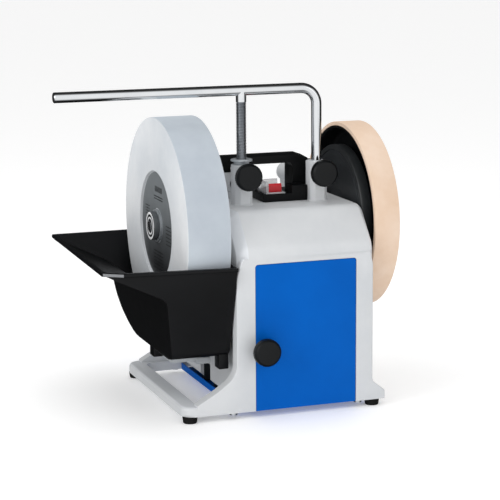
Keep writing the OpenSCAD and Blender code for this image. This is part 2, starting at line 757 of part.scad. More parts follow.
module tool_support() color("silver") {
    rod_z(leg_bottom, arm_z, bar_d / 2, leg_x0, leg_y);
    rod_z(leg_bottom, arm_z - bend_r, bar_d / 2, leg_x1, leg_y);
    rod_x(arm_end_x, leg_x1 - bend_r, bar_d / 2, leg_y, arm_z);
    translate([leg_x1 - bend_r, leg_y, arm_z - bend_r]) rotate([90, 0, 0])
        rotate_extrude(angle = 90) translate([bend_r, 0]) circle(bar_d / 2);
}
module micro_nut() color(c_zinc) difference() {
    union() {
        rod_z(sleeve_top + gap, sleeve_top + micro_neck + 1, micro_d / 2 - 3.5, leg_x0, leg_y);
        rod_z(sleeve_top + micro_neck, sleeve_top + micro_h, micro_d / 2, leg_x0, leg_y);
    }
    rod_z(sleeve_top - 1, sleeve_top + 20, bar_d / 2 + run, leg_x0, leg_y);
    // grip notches round the rim
    for (a = [0 : 30 : 330]) translate([leg_x0, leg_y, sleeve_top]) rotate([0, 0, a])
        translate([micro_d / 2 + 0.6, 0, -1]) cylinder(h = micro_h + 2, r = 1.6);
}

// Knob lying along +Z from its stem, with its clamping screw
module knob() difference() {
    union() {
        cylinder(h = knob_stem, r = 8);
        translate([0, 0, knob_stem]) cylinder(h = knob_h - 2, r = knob_d / 2);
        translate([0, 0, knob_stem + knob_h - 2])
            cylinder(h = 2, r1 = knob_d / 2, r2 = knob_d / 2 - 2);
    }
    translate([0, 0, -1]) cylinder(h = knob_stem + 7, r = lock_r);
}
module lock_screw(l) translate([0, 0, -l]) cylinder(h = l + knob_stem + 6, r = lock_r);

module at_front_lock(x) translate([x, leg_y - sleeve_back - gap, lock_z])
    rotate([90, 0, 0]) children();
module at_rear_lock(x, side) translate([x + side * (rear_sleeve_r + gap), rear_lock_y, rear_sleeve_z])
    rotate([0, side * 90, 0]) children();
front_screw_l = sleeve_back - bar_d / 2;
rear_screw_l = rear_sleeve_r - bar_d / 2;

module lock_knob_left() color(c_black) at_front_lock(leg_x0) knob();
module lock_screw_left() color(c_zinc) at_front_lock(leg_x0) lock_screw(front_screw_l);
module lock_knob_right() color(c_black) at_front_lock(leg_x1) knob();
module lock_screw_right() color(c_zinc) at_front_lock(leg_x1) lock_screw(front_screw_l);
module rear_knob_left() color(c_black) at_rear_lock(leg_x0, -1) knob();
module rear_screw_left() color(c_zinc) at_rear_lock(leg_x0, -1) lock_screw(rear_screw_l);
module rear_knob_right() color(c_black) at_rear_lock(leg_x1, 1) knob();
module rear_screw_right() color(c_zinc) at_rear_lock(leg_x1, 1) lock_screw(rear_screw_l);

// ---- Trough and its lift -----------------------------------------------------

lift_bush_r = 7;
lift_r = lock_r;
guide_y = carriage_half + 0.4;
lift_y1 = guide_y + guide_t + 2;

module lift_bush() color("ivory") difference() {
    union() {
        rod_y(front_y - 2, front_y + 5, lift_bush_r, lift_x, lift_z);
        rod_y(front_y - 2, front_y + 0.4, lift_bush_r + 1.4, lift_x, lift_z);
    }
    rod_y(front_y - 3, front_y + 8, lift_r + run, lift_x, lift_z);
}
module lift_knob() color(c_black)
    translate([lift_x, lift_knob_y, lift_z]) rotate([90, 0, 0]) knob();
module lift_shaft() color(c_steel)
    rod_y(lift_knob_y - knob_stem - 6, lift_y1, lift_r, lift_x, lift_z);

// Spur gear profile with straight flanks, a tooth pointing along +X
module gear_profile() union() {
    circle(gear_r - 1.25 * gear_module);
    for (i = [0 : gear_teeth - 1]) rotate(i * 360 / gear_teeth) polygon([
        [gear_r - 1.5 * gear_module, -gear_module],
        [gear_r, -0.7 * gear_module], [gear_r + gear_module, -0.28 * gear_module],
        [gear_r + gear_module, 0.28 * gear_module], [gear_r, 0.7 * gear_module],
        [gear_r - 1.5 * gear_module, gear_module]
    ]);
}
pinion_half = 6;
module lift_pinion() color("ivory") difference() {
    translate([lift_x, pinion_half, lift_z]) rotate([90, 0, 0])
        linear_extrude(2 * pinion_half) gear_profile();
    rod_y(-pinion_half - 1, pinion_half + 1, lift_r, lift_x, lift_z);
}

// Guide for the carriage: two uprights that also carry the lift shaft
module lift_guide() color(c_dark) difference() {
    for (side = [-1, 1]) union() {
        y0 = side > 0 ? guide_y : -guide_y - guide_t;
        block([wall_in_left, y0, sheet_z], [carriage_x1, y0 + guide_t, carriage_z1 + 4]);
        block([carriage_x1, y0, lift_z - 10], [lift_x + 10, y0 + guide_t, lift_z + 10]);
    }
    rod_y(-guide_y - guide_t - 1, guide_y + guide_t + 1, lift_r + run, lift_x, lift_z);
}

rack_pitch = PI * gear_module;
rack_teeth_up = 11;
rack_teeth_down = 3;
module lift_carriage() color(c_zinc) {
    block([carriage_x0, -carriage_half, carriage_z0], [carriage_x1, carriage_half, carriage_z1]);
    // rack with a gap opposite the pinion's tooth at rest
    block([carriage_x1, -pinion_half + 1, lift_z - (rack_teeth_down + 0.5) * rack_pitch],
        [rack_x - 1.3 * gear_module, pinion_half - 1, lift_z + (rack_teeth_up + 0.5) * rack_pitch]);
    for (i = [-rack_teeth_down : rack_teeth_up]) translate([rack_x, 0, lift_z + (i - 0.5) * rack_pitch])
        along_y(-pinion_half + 1, pinion_half - 1) polygon([
            [-1.3 * gear_module, -1.12 * gear_module], [0, -0.7 * gear_module],
            [0.95 * gear_module, -0.36 * gear_module], [0.95 * gear_module, 0.36 * gear_module],
            [0, 0.7 * gear_module], [-1.3 * gear_module, 1.12 * gear_module]
        ]);
    // tongue through the housing's slot, and the pad under the trough
    block([left_x - 16, -tongue_half, tongue_z0], [carriage_x0 + 1, tongue_half, tongue_z1]);
    difference() {
        block([left_x - 46, -tongue_half + 1, tongue_z1 - 3],
            [left_x - 7, tongue_half - 1, trough_z]);
        rod_z(trough_z - magnet_t, trough_z + 1, magnet_r, left_x - 26, 0);
    }
}
module trough_magnet() color(c_dark)
    rod_z(trough_z - magnet_t, trough_z, magnet_r, left_x - 26, 0);

// Side view of the tub, t inside its outer face; it rises behind the stone
function tub_side(t) = [
    [trough_y0 + t, rim_z + (t > 0 ? 5 : 0)],
    [trough_y0 + 29 + t, trough_z + 8.5 + t / 2],
    [trough_y0 + 70, trough_z + t],
    [25, trough_z + t],
    [52, trough_z + 3 + t],
    [80 - t / 2, trough_z + 13.5 + t],
    [101 - t, trough_z + 26 + t / 2],
    [115 - t, trough_z + 42],
    [121 - t, trough_z + 61],
    [trough_y1 - t, rim_z + (t > 0 ? 5 : 0)]
];
// Front view of the tub and its apron
function tub_front(t) = [
    [trough_x1 - t, rim_z + (t > 0 ? 5 : 0)],
    [trough_x1 - 1 - t, trough_z - 1 + t],
    [tub_floor_x + t, trough_z - 1 + t],
    [tub_knee_x + t, knee_z + t / 3],
    [apron_x + t, rim_z - 3 + t / 2],
    [apron_x + t, rim_z + (t > 0 ? 5 : 0)]
];
// Side view of what lies behind the front wall
function behind_front(t) = [
    [trough_y0 + t, rim_z + 6], [trough_y0 + t, rim_z + (t > 0 ? 5 : 0)],
    [trough_y0 + 29 + t, trough_z + 8.5 + t / 2], [trough_y0 + 70, trough_z - 20],
    [trough_y1 + 80, trough_z - 20], [trough_y1 + 80, rim_z + 6]
];
module tub_solid(t) intersection() {
    along_x(apron_x - 5, trough_x1 + 5) polygon(tub_side(t));
    along_y(trough_y0 - 5, trough_y1 + 5) polygon(tub_front(t));
    linear_extrude(300) apron_plan(t, 0.3);
    // the front wall turns back as its rim does
    translate([trough_x1, trough_y0, 0]) rotate([0, 0, -front_turn]) translate([-trough_x1, -trough_y0, 0])
        along_x(apron_x - 60, trough_x1 + 60) polygon(behind_front(t));
}
// Plan of the rim, t inside the tub's outer face: its front tapers back to a cut corner,
// whose line runs on past the front by a share of its length
module apron_plan(t, past = 0) polygon([
    [trough_x1 + 1, trough_y0 + t - past * tip_y],
    [apron_x + (1 + past) * apron_tip + 0.3 * t, trough_y0 + front_taper + t - past * tip_y],
    [apron_x + t, trough_y0 + front_taper + tip_y + t / 2],
    [apron_x + back_taper + t, trough_y1 + 5], [trough_x1 + 1, trough_y1 + 5]
]);
module trough() color(c_black) difference() {
    union() {
        tub_solid(0);
        // rolled lip round the rim
        translate([0, 0, rim_z - 4]) linear_extrude(4) intersection() {
            apron_plan(-rim_lip);
            translate([apron_x - 10, trough_y0 - 10])
                square([trough_x1 - apron_x + 10, trough_y1 + rim_lip - trough_y0 + 10]);
        }
    }
    tub_solid(trough_wall);
}

// Lugs that the trough stands on when it is off the machine
module trough_lugs() color(c_black) difference() {
    for (p = [[tub_floor_x + 9, 0], [trough_x1 - 7, trough_y0 + 39], [trough_x1 - 7, 62]])
        block([p.x - 6, p.y - 8, trough_z - 11], [p.x + 6, p.y + 8, trough_z + 10]);
    tub_solid(0);
}

// ---- Nodes --------------------------------------------------------------------

placed() housing();
placed() body_sheet();
placed() sheet_screws();
placed() rubber_feet();
placed() feet_screws();
placed() shaft_bush_left();
placed() shaft_bush_right();
placed() handle();
placed() handle_base();
placed() handle_screws();
placed() switch_body();
placed() switch_bezel();
placed() capacitor();
placed() capacitor_clip();
placed() terminal_block();
placed() cord_gland();
placed() pivot_pin();
placed() pivot_clips();
placed() torsion_spring();
placed() lift_guide();
placed() lift_bush();
placed() tool_support();
placed() micro_nut();
placed() lock_knob_left();
placed() lock_screw_left();
placed() lock_knob_right();
placed() lock_screw_right();
placed() rear_knob_left();
placed() rear_screw_left();
placed() rear_knob_right();
placed() rear_screw_right();
placed() lift_knob();
placed() lift_shaft();
placed() lift_pinion();
placed() trough();
placed() trough_lugs();
placed() lift_carriage();
placed() trough_magnet();
placed() main_shaft();
placed() grinding_stone();
placed() stone_label();
placed() inner_flange();
placed() outer_washer();
placed() drive_wheel();
placed() drive_tyre();
placed() shaft_clips();
placed() honing_dish();
placed() honing_leather();
placed() stone_nut();
placed() honing_knob();
placed() rocker();
placed() motor_cradle();
placed() motor_can();
placed() motor_end_caps();
placed() stator();
placed() windings();
placed() motor_bearings();
placed() rotor_core();
placed() motor_spindle();
placed() cooling_fan();
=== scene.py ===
"""Wet grinding sharpener: the looks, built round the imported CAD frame.

Shapes are drawn in millimetres in the machine's own space (X along the main
shaft towards the honing wheel, Y away from the user with zero on the shaft,
Z up from the bench) and moved into the frame, in metres, when they are done.
"""

import json
import math

import bmesh
import bpy
from mathutils import Matrix, Vector


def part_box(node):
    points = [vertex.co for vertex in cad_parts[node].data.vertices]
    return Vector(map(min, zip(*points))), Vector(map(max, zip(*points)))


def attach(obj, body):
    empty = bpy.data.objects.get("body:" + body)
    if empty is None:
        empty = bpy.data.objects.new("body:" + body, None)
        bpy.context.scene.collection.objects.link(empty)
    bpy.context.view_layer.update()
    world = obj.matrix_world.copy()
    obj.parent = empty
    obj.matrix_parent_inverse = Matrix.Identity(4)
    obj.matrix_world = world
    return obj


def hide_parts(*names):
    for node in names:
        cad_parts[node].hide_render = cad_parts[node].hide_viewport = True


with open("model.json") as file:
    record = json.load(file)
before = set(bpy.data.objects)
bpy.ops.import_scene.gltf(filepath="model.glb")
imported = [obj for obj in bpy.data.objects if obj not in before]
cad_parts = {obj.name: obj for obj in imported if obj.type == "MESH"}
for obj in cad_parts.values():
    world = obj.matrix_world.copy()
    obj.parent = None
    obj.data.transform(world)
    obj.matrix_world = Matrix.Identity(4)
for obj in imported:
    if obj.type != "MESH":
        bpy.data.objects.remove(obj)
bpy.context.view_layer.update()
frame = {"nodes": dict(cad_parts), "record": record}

MM = 0.001
STONE_RIGHT_FACE = -100.0  # where that face lies in the machine's own space


def cad_box(node):
    """A CAD node's lowest and highest corners in the frame, in millimetres."""
    lo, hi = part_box(node)
    return Vector(lo) / MM, Vector(hi) / MM


shaft_lo, shaft_hi = cad_box("main_shaft")
stone_right = cad_box("grinding_stone")[1].x
ORIGIN = Vector((stone_right - STONE_RIGHT_FACE, (shaft_lo.y + shaft_hi.y) / 2, 0))
TO_FRAME = Matrix.Scale(MM, 4) @ Matrix.Translation(ORIGIN)


def machine_box(node):
    """A CAD node's lowest and highest corners in the machine's own space."""
    lo, hi = cad_box(node)
    return lo - ORIGIN, hi - ORIGIN


# ---- Main sizes, from the frame where a node's box gives them ----------------

shaft_z = (shaft_lo.z + shaft_hi.z) / 2
stone_lo, stone_hi = machine_box("grinding_stone")
stone_r = (stone_hi.z - stone_lo.z) / 2
leather_lo, leather_hi = machine_box("honing_leather")
honing_r = (leather_hi.z - leather_lo.z) / 2
housing_lo, housing_hi = machine_box("housing")
trough_lo, trough_hi = machine_box("trough")
handle_lo, handle_hi = machine_box("handle")
support_lo, support_hi = machine_box("tool_support")
motor_lo, motor_hi = machine_box("motor_can")
motor_z = (motor_lo.z + motor_hi.z) / 2

# The cast shell, its flanges in front and behind, and the low frame under the trough
left_x = -91.0
right_x = machine_box("drive_wheel")[0].x - 3.8
front_y = housing_lo.y
back_y = housing_hi.y
top_z = handle_lo.z
slope_z = 191.0  # where the upright front turns into the slope
slope_in = 34.0  # how far the slope leans in
wall = 4.0
flange = 14.0
lip_x = left_x - 3.5
frame_z = housing_lo.z
sheet_z = frame_z + 1.5
outrigger_x = housing_lo.x
outrigger_w = 18.5
outrigger_top = 18.5
panel_x0, panel_x1 = -72.0, 49.0
panel_top = machine_box("body_sheet")[1].z
panel_gap = 0.5
left_bevel, right_bevel = 11.0, 5.0
coplanar_step = 0.04  # keeps the shell's faces out of the flanges' planes when they are joined

# The tool support, the sleeves that hold it and their locking screws
leg_x0 = -59.0
leg_x1 = support_hi.x - 6
leg_y = (support_lo.y + support_hi.y) / 2
arm_z = support_hi.z - 6
bar_r = 6.0
shaft_r = 6.0
bore_r = bar_r + 0.05  # the same for the bar and for the main shaft
lock_bore_r = 4.05
sleeve_top = housing_hi.z
sleeve_deep = 12.0
lock_z = (machine_box("lock_knob_left")[0].z + machine_box("lock_knob_left")[1].z) / 2
rear_sleeve_z = top_z + 20
rear_sleeve_r = 11.5
rear_sleeve_y1 = 60.0
REAR_SLEEVES = ((leg_x0, -19.0), (leg_x1, 18.0))  # each sleeve's x and where it begins
rear_lock_y = 45.0
play = 0.3

# What the shell holds inside
bush_r = 11.0
shaft_boss_r = 19.0
spindle_hole_r = 12.0
pivot_y = 75.0
PIVOT_LUGS = ((-45.3, -39.3), (51.3, 57.3))  # each lug from x to x
rack_slot_half, rack_slot_top = 18.0, 50.5


# ---- Outlines -------------------------------------------------------------


def fillet(points, radius, steps=6):
    """A closed outline with its corners rounded. radius is one number, or one per corner."""
    pts = [Vector(p) for p in points]
    radii = radius if isinstance(radius, (list, tuple)) else [radius] * len(pts)
    out = []
    for i, p in enumerate(pts):
        before, after, r = pts[i - 1] - p, pts[(i + 1) % len(pts)] - p, radii[i]
        half = before.angle(after, 0) / 2
        if r <= 0 or half < 0.02 or half > math.pi / 2 - 0.01:
            out.append(p)
            continue
        reach = min(r / math.tan(half), 0.49 * before.length, 0.49 * after.length)
        r = reach * math.tan(half)
        a, b = before.normalized(), after.normalized()
        centre = p + (a + b).normalized() * (r / math.sin(half))
        start, end = p + a * reach - centre, p + b * reach - centre
        for k in range(steps + 1):
            t = k / steps
            out.append(centre + start.normalized().slerp(end.normalized(), t).normalized() * r)
    return out


def circle(radius, count=32, centre=(0, 0)):
    return [
        Vector(centre) + radius * Vector((math.cos(a), math.sin(a)))
        for a in (math.tau * i / count for i in range(count))
    ]


def rectangle(x0, y0, x1, y1):
    return [(x0, y0), (x1, y0), (x1, y1), (x0, y1)]


# ---- Solids ----------------------------------------------------------------


def face_out(bm):
    bmesh.ops.remove_doubles(bm, verts=bm.verts, dist=0.002)
    bmesh.ops.recalc_face_normals(bm, faces=bm.faces)
    return bm


def loft(rings, closed=False):
    """A solid through rings of 3-D points, each with the same number of points."""
    bm = bmesh.new()
    rows = [[bm.verts.new(p) for p in ring] for ring in rings]
    n = len(rows[0])
    pairs = list(zip(rows, rows[1:])) + ([(rows[-1], rows[0])] if closed else [])
    for low, high in pairs:
        for i in range(n):
            j = (i + 1) % n
            bm.faces.new((low[i], low[j], high[j], high[i]))
    if not closed:
        bm.faces.new(rows[0][::-1])
        bm.faces.new(rows[-1])
    return face_out(bm)


def along(axis, outline, lo, hi):
    """An outline made solid along an axis. The outline is in (y, z), (x, z) or (x, y)."""
    place = {
        "X": lambda p, t: (t, p[0], p[1]),
        "Y": lambda p, t: (p[0], t, p[1]),
        "Z": lambda p, t: (p[0], p[1], t),
    }[axis]
    return loft([[place(p, t) for p in outline] for t in (lo, hi)])


def block(lo, hi):
    return along("Z", rectangle(lo[0], lo[1], hi[0], hi[1]), lo[2], hi[2])


def lathe(profile, axis, centre, count=64):
    """A solid turned about an axis line. profile is a closed loop of (along, radius)."""
    bm = bmesh.new()
    u, v = {"X": ((0, 1, 0), (0, 0, 1)), "Y": ((0, 0, 1), (1, 0, 0)), "Z": ((1, 0, 0), (0, 1, 0))}[axis]
    u, v = Vector(u), Vector(v)
    line = u.cross(v)
    base = Vector(centre)
    rows = []
    for t, r in profile:
        spot = base + line * t
        if r < 0.01:
            rows.append([bm.verts.new(spot)] * count)
            continue
        rows.append([
            bm.verts.new(spot + u * r * math.cos(a) + v * r * math.sin(a))
            for a in (math.tau * i / count for i in range(count))
        ])
    for low, high in zip(rows, rows[1:] + rows[:1]):
        for i in range(count):
            j = (i + 1) % count
            ring = []
            for vert in (low[i], low[j], high[j], high[i]):
                if vert not in ring:
                    ring.append(vert)
            if len(ring) > 2:
                bm.faces.new(ring)
    return face_out(bm)


def rod(axis, lo, hi, radius, centre, count=48, edge=0.0):
    """A round bar with eased ends."""
    profile = fillet([(lo, 0), (lo, radius), (hi, radius), (hi, 0)], [0, edge, edge, 0], 3)
    return lathe(profile, axis, centre, count)


def ring(axis, lo, hi, outer, inner, centre, count=64, edge=0.0):
    """A tube with eased edges."""
    profile = fillet([(lo, inner), (lo, outer), (hi, outer), (hi, inner)], edge, 3)
    return lathe(profile, axis, centre, count)


def ease(bm, width, segments=3, keep=None, angle=28):
    """Eases the sharp edges of a solid, or those that keep(edge) picks: flat with one segment."""
    bmesh.ops.dissolve_limit(bm, angle_limit=math.radians(0.6), verts=bm.verts, edges=bm.edges)
    sharp = [
        e for e in bm.edges
        if len(e.link_faces) == 2
        and e.calc_face_angle(0) > math.radians(angle)
        and (keep is None or keep(e))
    ]
    bmesh.ops.bevel(
        bm, geom=sharp, offset=width, offset_type="OFFSET", segments=segments,
        profile=0.5, affect="EDGES", clamp_overlap=True,
    )
    return bm


def as_object(name, bm):
    mesh = bpy.data.meshes.new(name)
    bm.to_mesh(mesh)
    bm.free()
    obj = bpy.data.objects.new(name, mesh)
    bpy.context.scene.collection.objects.link(obj)
    return obj


def discard(obj):
    mesh = obj.data
    bpy.data.objects.remove(obj)
    if mesh.users == 0:
        bpy.data.meshes.remove(mesh)


def evaluated_bmesh(obj):
    graph = bpy.context.evaluated_depsgraph_get()
    mesh = bpy.data.meshes.new_from_object(obj.evaluated_get(graph))
    bm = bmesh.new()
    bm.from_mesh(mesh)
    bpy.data.meshes.remove(mesh)
    return bm


def combine(first, others, operation="UNION"):
    """first with each of the other solids added, cut away or kept in common."""
    base = as_object("solid_under_way", first)
    tools = [as_object("tool_solid", other) for other in others]
    for tool in tools:
        change = base.modifiers.new("change", "BOOLEAN")
        change.operation = operation
        change.solver = "EXACT"
        change.object = tool
    bm = evaluated_bmesh(base)
    for obj in [base] + tools:
        discard(obj)
    bmesh.ops.remove_doubles(bm, verts=bm.verts, dist=0.004)
    return bm


def joined(*solids):
    """Several solids as one mesh."""
    bm = bmesh.new()
    for solid in solids:
        mesh = bpy.data.meshes.new("part_of_it")
        solid.to_mesh(mesh)
        solid.free()
        bm.from_mesh(mesh)
        bpy.data.meshes.remove(mesh)
    return bm


def turned(bm, angle, axis, centre):
    bmesh.ops.rotate(bm, verts=bm.verts, cent=Vector(centre), matrix=Matrix.Rotation(angle, 3, axis))
    return bm


def cad_copy(node):
    """A CAD node's own shape in the machine's space, its loose triangles merged."""
    bm = bmesh.new()
    bm.from_mesh(frame["nodes"][node].data)
    bm.transform(TO_FRAME.inverted())
    bmesh.ops.remove_doubles(bm, verts=bm.verts, dist=0.003)
    return bm


# ---- Node trees --------------------------------------------------------------


def feed(tree, node, sources):
    """Links each named input to a socket, or gives it a value."""
    for label, source in sources.items():
        if isinstance(source, bpy.types.NodeSocket):
            tree.links.new(source, node.inputs[label])
        else:
            node.inputs[label].default_value = source


def wired(tree, kind, sources=None, **settings):
    """A new node with its settings made and its inputs fed."""
    node = tree.nodes.new(kind)
    for label, value in settings.items():
        setattr(node, label, value)
    feed(tree, node, sources or {})
    return node


# ---- Geometry Nodes --------------------------------------------------------


def new_tree(name, inputs):
    tree = bpy.data.node_groups.new(name, "GeometryNodeTree")
    for label, kind in inputs:
        tree.interface.new_socket(name=label, in_out="INPUT", socket_type="NodeSocket" + kind)
    tree.interface.new_socket(name="Geometry", in_out="OUTPUT", socket_type="NodeSocketGeometry")
    return tree, tree.nodes.new("NodeGroupInput").outputs


def run_tree(tree, values):
    """The mesh that a tree makes from named values."""
    holder = bpy.data.objects.new("tree_holder", bpy.data.meshes.new("tree_holder"))
    bpy.context.scene.collection.objects.link(holder)
    change = holder.modifiers.new("tree", "NODES")
    change.node_group = tree
    for item in tree.interface.items_tree:
        if item.in_out == "INPUT" and item.name in values:
            change[item.identifier] = values[item.name]
    bm = evaluated_bmesh(holder)
    holder.modifiers.clear()
    discard(holder)
    return bm


def bars_at(tree, given, points, **turn):
    """The bar of a tree, set at each of the points."""
    bar = wired(tree, "GeometryNodeMeshCube", {"Size": given["Bar Size"]})
    return wired(tree, "GeometryNodeInstanceOnPoints", {
        "Points": points.outputs[0], "Instance": bar.outputs["Mesh"], **turn})


def close_tree(tree, given, shape):
    """Ends a tree: its shape made real, with its material."""
    real = wired(tree, "GeometryNodeRealizeInstances", {0: shape.outputs[0]})
    dressed = wired(tree, "GeometryNodeSetMaterial", {0: real.outputs[0], "Material": given["Material"]})
    wired(tree, "NodeGroupOutput", {0: dressed.outputs[0]})
    return tree


def ring_tree():
    """Bars set round a circle in the XY plane, each with its own X pointing outwards."""
    tree, given = new_tree("bars_round_a_circle", [
        ("Count", "Int"), ("Radius", "Float"), ("Bar Size", "Vector"), ("Material", "Material")])
    points = wired(tree, "GeometryNodeMeshCircle", {"Vertices": given["Count"], "Radius": given["Radius"]})
    position = wired(tree, "GeometryNodeInputPosition")
    aim = wired(tree, "FunctionNodeAlignEulerToVector", {"Vector": position.outputs[0]}, axis="X")
    return close_tree(tree, given, bars_at(tree, given, points, Rotation=aim.outputs[0]))


def row_tree():
    """A row of bars, one pitch apart."""
    tree, given = new_tree("row_of_bars", [
        ("Count", "Int"), ("Pitch", "Vector"), ("Bar Size", "Vector"), ("Material", "Material")])
    points = wired(tree, "GeometryNodeMeshLine", {"Count": given["Count"], "Offset": given["Pitch"]})
    return close_tree(tree, given, bars_at(tree, given, points))


def thread_tree():
    """A screw thread's ridge: a small square bar on edge, swept along a helix about Z."""
    tree, given = new_tree("screw_thread", [
        ("Turns", "Float"), ("Radius", "Float"), ("Height", "Float"), ("Ridge", "Float"),
        ("Steps", "Int"), ("Material", "Material")])
    helix = wired(tree, "GeometryNodeCurveSpiral", {
        "Resolution": given["Steps"], "Rotations": given["Turns"], "Start Radius": given["Radius"],
        "End Radius": given["Radius"], "Height": given["Height"]})
    ridge = wired(tree, "GeometryNodeCurvePrimitiveCircle", {"Resolution": 4, "Radius": given["Ridge"]})
    upright = wired(tree, "GeometryNodeSetCurveNormal", {"Curve": helix.outputs[0]}, mode="Z_UP")
    sweep = wired(tree, "GeometryNodeCurveToMesh", {
        "Curve": upright.outputs[0], "Profile Curve": ridge.outputs["Curve"], "Fill Caps": True})
    return close_tree(tree, given, sweep)


BARS_ROUND = ring_tree()
BARS_IN_ROW = row_tree()
THREAD = thread_tree()

# ---- Shader groups ----------------------------------------------------------


def new_group(name, values, outputs):
    """A shader group that takes a vector and named values, with their usual sizes."""
    tree = bpy.data.node_groups.new(name, "ShaderNodeTree")
    tree.interface.new_socket(name="Vector", in_out="INPUT", socket_type="NodeSocketVector")
    for label, value in values.items():
        socket = tree.interface.new_socket(name=label, in_out="INPUT", socket_type="NodeSocketFloat")
        socket.default_value = value
    for label in outputs:
        tree.interface.new_socket(name=label, in_out="OUTPUT", socket_type="NodeSocketFloat")
    return tree, tree.nodes.new("NodeGroupInput").outputs


def wear_group():
    """Slow, cloudy changes over a surface: handling, dust and uneven coating."""
    tree, given = new_group("slow_wear", {"Scale": 12.0, "Low": 0.35, "High": 0.7}, ["Mask"])
    noise = wired(tree, "ShaderNodeTexNoise", {
        "Vector": given["Vector"], "Scale": given["Scale"], "Detail": 5, "Roughness": 0.6})
    spread = wired(tree, "ShaderNodeMapRange", {
        "Value": noise.outputs[0], "From Min": given["Low"], "From Max": given["High"]})
    wired(tree, "NodeGroupOutput", {"Mask": spread.outputs[0]})
    return tree


def grain_group():
    """Fine grain: a height for bump and a mask for specks."""
    tree, given = new_group(
        "fine_grain", {"Scale": 900.0, "Speck Scale": 500.0, "Speck Size": 0.2}, ["Height", "Specks"])
    noise = wired(tree, "ShaderNodeTexNoise", {
        "Vector": given["Vector"], "Scale": given["Scale"], "Detail": 3})
    cells = wired(tree, "ShaderNodeTexVoronoi", {"Vector": given["Vector"], "Scale": given["Speck Scale"]})
    specks = wired(tree, "ShaderNodeMapRange", {
        "Value": cells.outputs["Distance"], "From Max": given["Speck Size"], "To Min": 1, "To Max": 0})
    height = wired(tree, "ShaderNodeMath", {0: noise.outputs[0], 1: specks.outputs[0]}, operation="ADD")
    wired(tree, "NodeGroupOutput", {"Height": height.outputs[0], "Specks": specks.outputs[0]})
    return tree


def turning_group():
    """Fine rings about the X axis of the given vector, as a lathe or use leaves them."""
    tree, given = new_group("turning_rings", {"Scale": 800.0, "Broken": 2.0}, ["Height"])
    x, y, z = wired(tree, "ShaderNodeSeparateXYZ", {0: given["Vector"]}).outputs
    flat = wired(tree, "ShaderNodeCombineXYZ", {0: y, 1: z})
    radius = wired(tree, "ShaderNodeVectorMath", {0: flat.outputs[0]}, operation="LENGTH")
    turn = wired(tree, "ShaderNodeMath", {0: y, 1: z}, operation="ARCTAN2")

    def times(source, factor):
        return wired(tree, "ShaderNodeMath", {0: source, 1: factor}, operation="MULTIPLY").outputs[0]

    coords = wired(tree, "ShaderNodeCombineXYZ", {
        0: times(radius.outputs["Value"], given["Scale"]), 1: times(x, given["Scale"]),
        2: times(turn.outputs[0], given["Broken"])})
    noise = wired(tree, "ShaderNodeTexNoise", {"Vector": coords.outputs[0], "Scale": 1, "Detail": 3})
    wired(tree, "NodeGroupOutput", {"Height": noise.outputs[0]})
    return tree


WEAR = wear_group()
GRAIN = grain_group()
TURNING = turning_group()


def srgb(text):
    """A linear colour from a hex code."""
    def linear(c):
        return c / 12.92 if c <= 0.04045 else ((c + 0.055) / 1.055) ** 2.4
    return tuple(linear(int(text[i:i + 2], 16) / 255) for i in (0, 2, 4)) + (1.0,)


def colour_mix(tree, factor, a, b):
    """A mix of two colours, each a colour or a socket that gives one."""
    mix = wired(tree, "ShaderNodeMix", {"Factor": factor, "A": a, "B": b}, data_type="RGBA")
    return mix.outputs["Result"]


def finish(
    name, colour, shade, rough, metallic=0.0, coat=0.0, cloud=14.0, grain=900.0,
    speck=(500.0, 0.0), bump=0.1, rings=None, centre=(0, 0, 0), alpha=1.0, depth=0.0004,
    specular=0.5, painted_reflection_heights=None,
):
    """A finish: colour drifting to shade, roughness from rough[0] to rough[1], and fine relief.

    speck is (scale, size) of darker specks. rings is the scale of turned rings about
    an X axis through centre. fade is the two heights between which colour turns to shade, darker towards the
    lower one: a painted reflection."""
    mat = bpy.data.materials.new(name)
    mat.use_nodes = True
    tree = mat.node_tree
    coords = wired(tree, "ShaderNodeTexCoord").outputs["Object"]
    wear = wired(tree, "ShaderNodeGroup", {"Vector": coords, "Scale": cloud}, node_tree=WEAR).outputs["Mask"]
    fine = wired(tree, "ShaderNodeGroup", {
        "Vector": coords, "Scale": grain, "Speck Scale": speck[0], "Speck Size": max(speck[1], 0.001),
    }, node_tree=GRAIN).outputs
    drift = wear
    # Painted reflection: colour turns to shade with height, darker towards the bottom.
    if painted_reflection_heights:
        parts = wired(tree, "ShaderNodeSeparateXYZ", {0: coords})
        level = wired(tree, "ShaderNodeMapRange", {
            "Value": parts.outputs["Z"], "From Min": painted_reflection_heights[0] * MM, "From Max": painted_reflection_heights[1] * MM})
        both = wired(tree, "ShaderNodeMath", {
            0: wear, 1: 0.15, 2: level.outputs[0]}, operation="MULTIPLY_ADD")
        drift = both.outputs[0]
    tint = colour_mix(tree, drift, srgb(colour), srgb(shade))
    if speck[1] > 0:
        tint = colour_mix(tree, fine["Specks"], tint, srgb(shade))
    gloss = wired(tree, "ShaderNodeMapRange", {"Value": wear, "To Min": rough[0], "To Max": rough[1]})
    height = fine["Height"]
    if rings:
        moved = wired(tree, "ShaderNodeMapping", {
            "Vector": coords, "Location": -(TO_FRAME @ Vector(centre))})
        height = wired(tree, "ShaderNodeGroup", {
            "Vector": moved.outputs[0], "Scale": rings}, node_tree=TURNING).outputs["Height"]
    relief = wired(tree, "ShaderNodeBump", {"Strength": bump, "Distance": depth, "Height": height})
    feed(tree, tree.nodes["Principled BSDF"], {
        "Base Color": tint, "Metallic": metallic, "Roughness": gloss.outputs[0], "Alpha": alpha,
        "Specular IOR Level": specular, "Coat Weight": coat, "Normal": relief.outputs[0]})
    return mat


ON_SHAFT = (0, 0, shaft_z)
ON_MOTOR = (0, 0, motor_z)

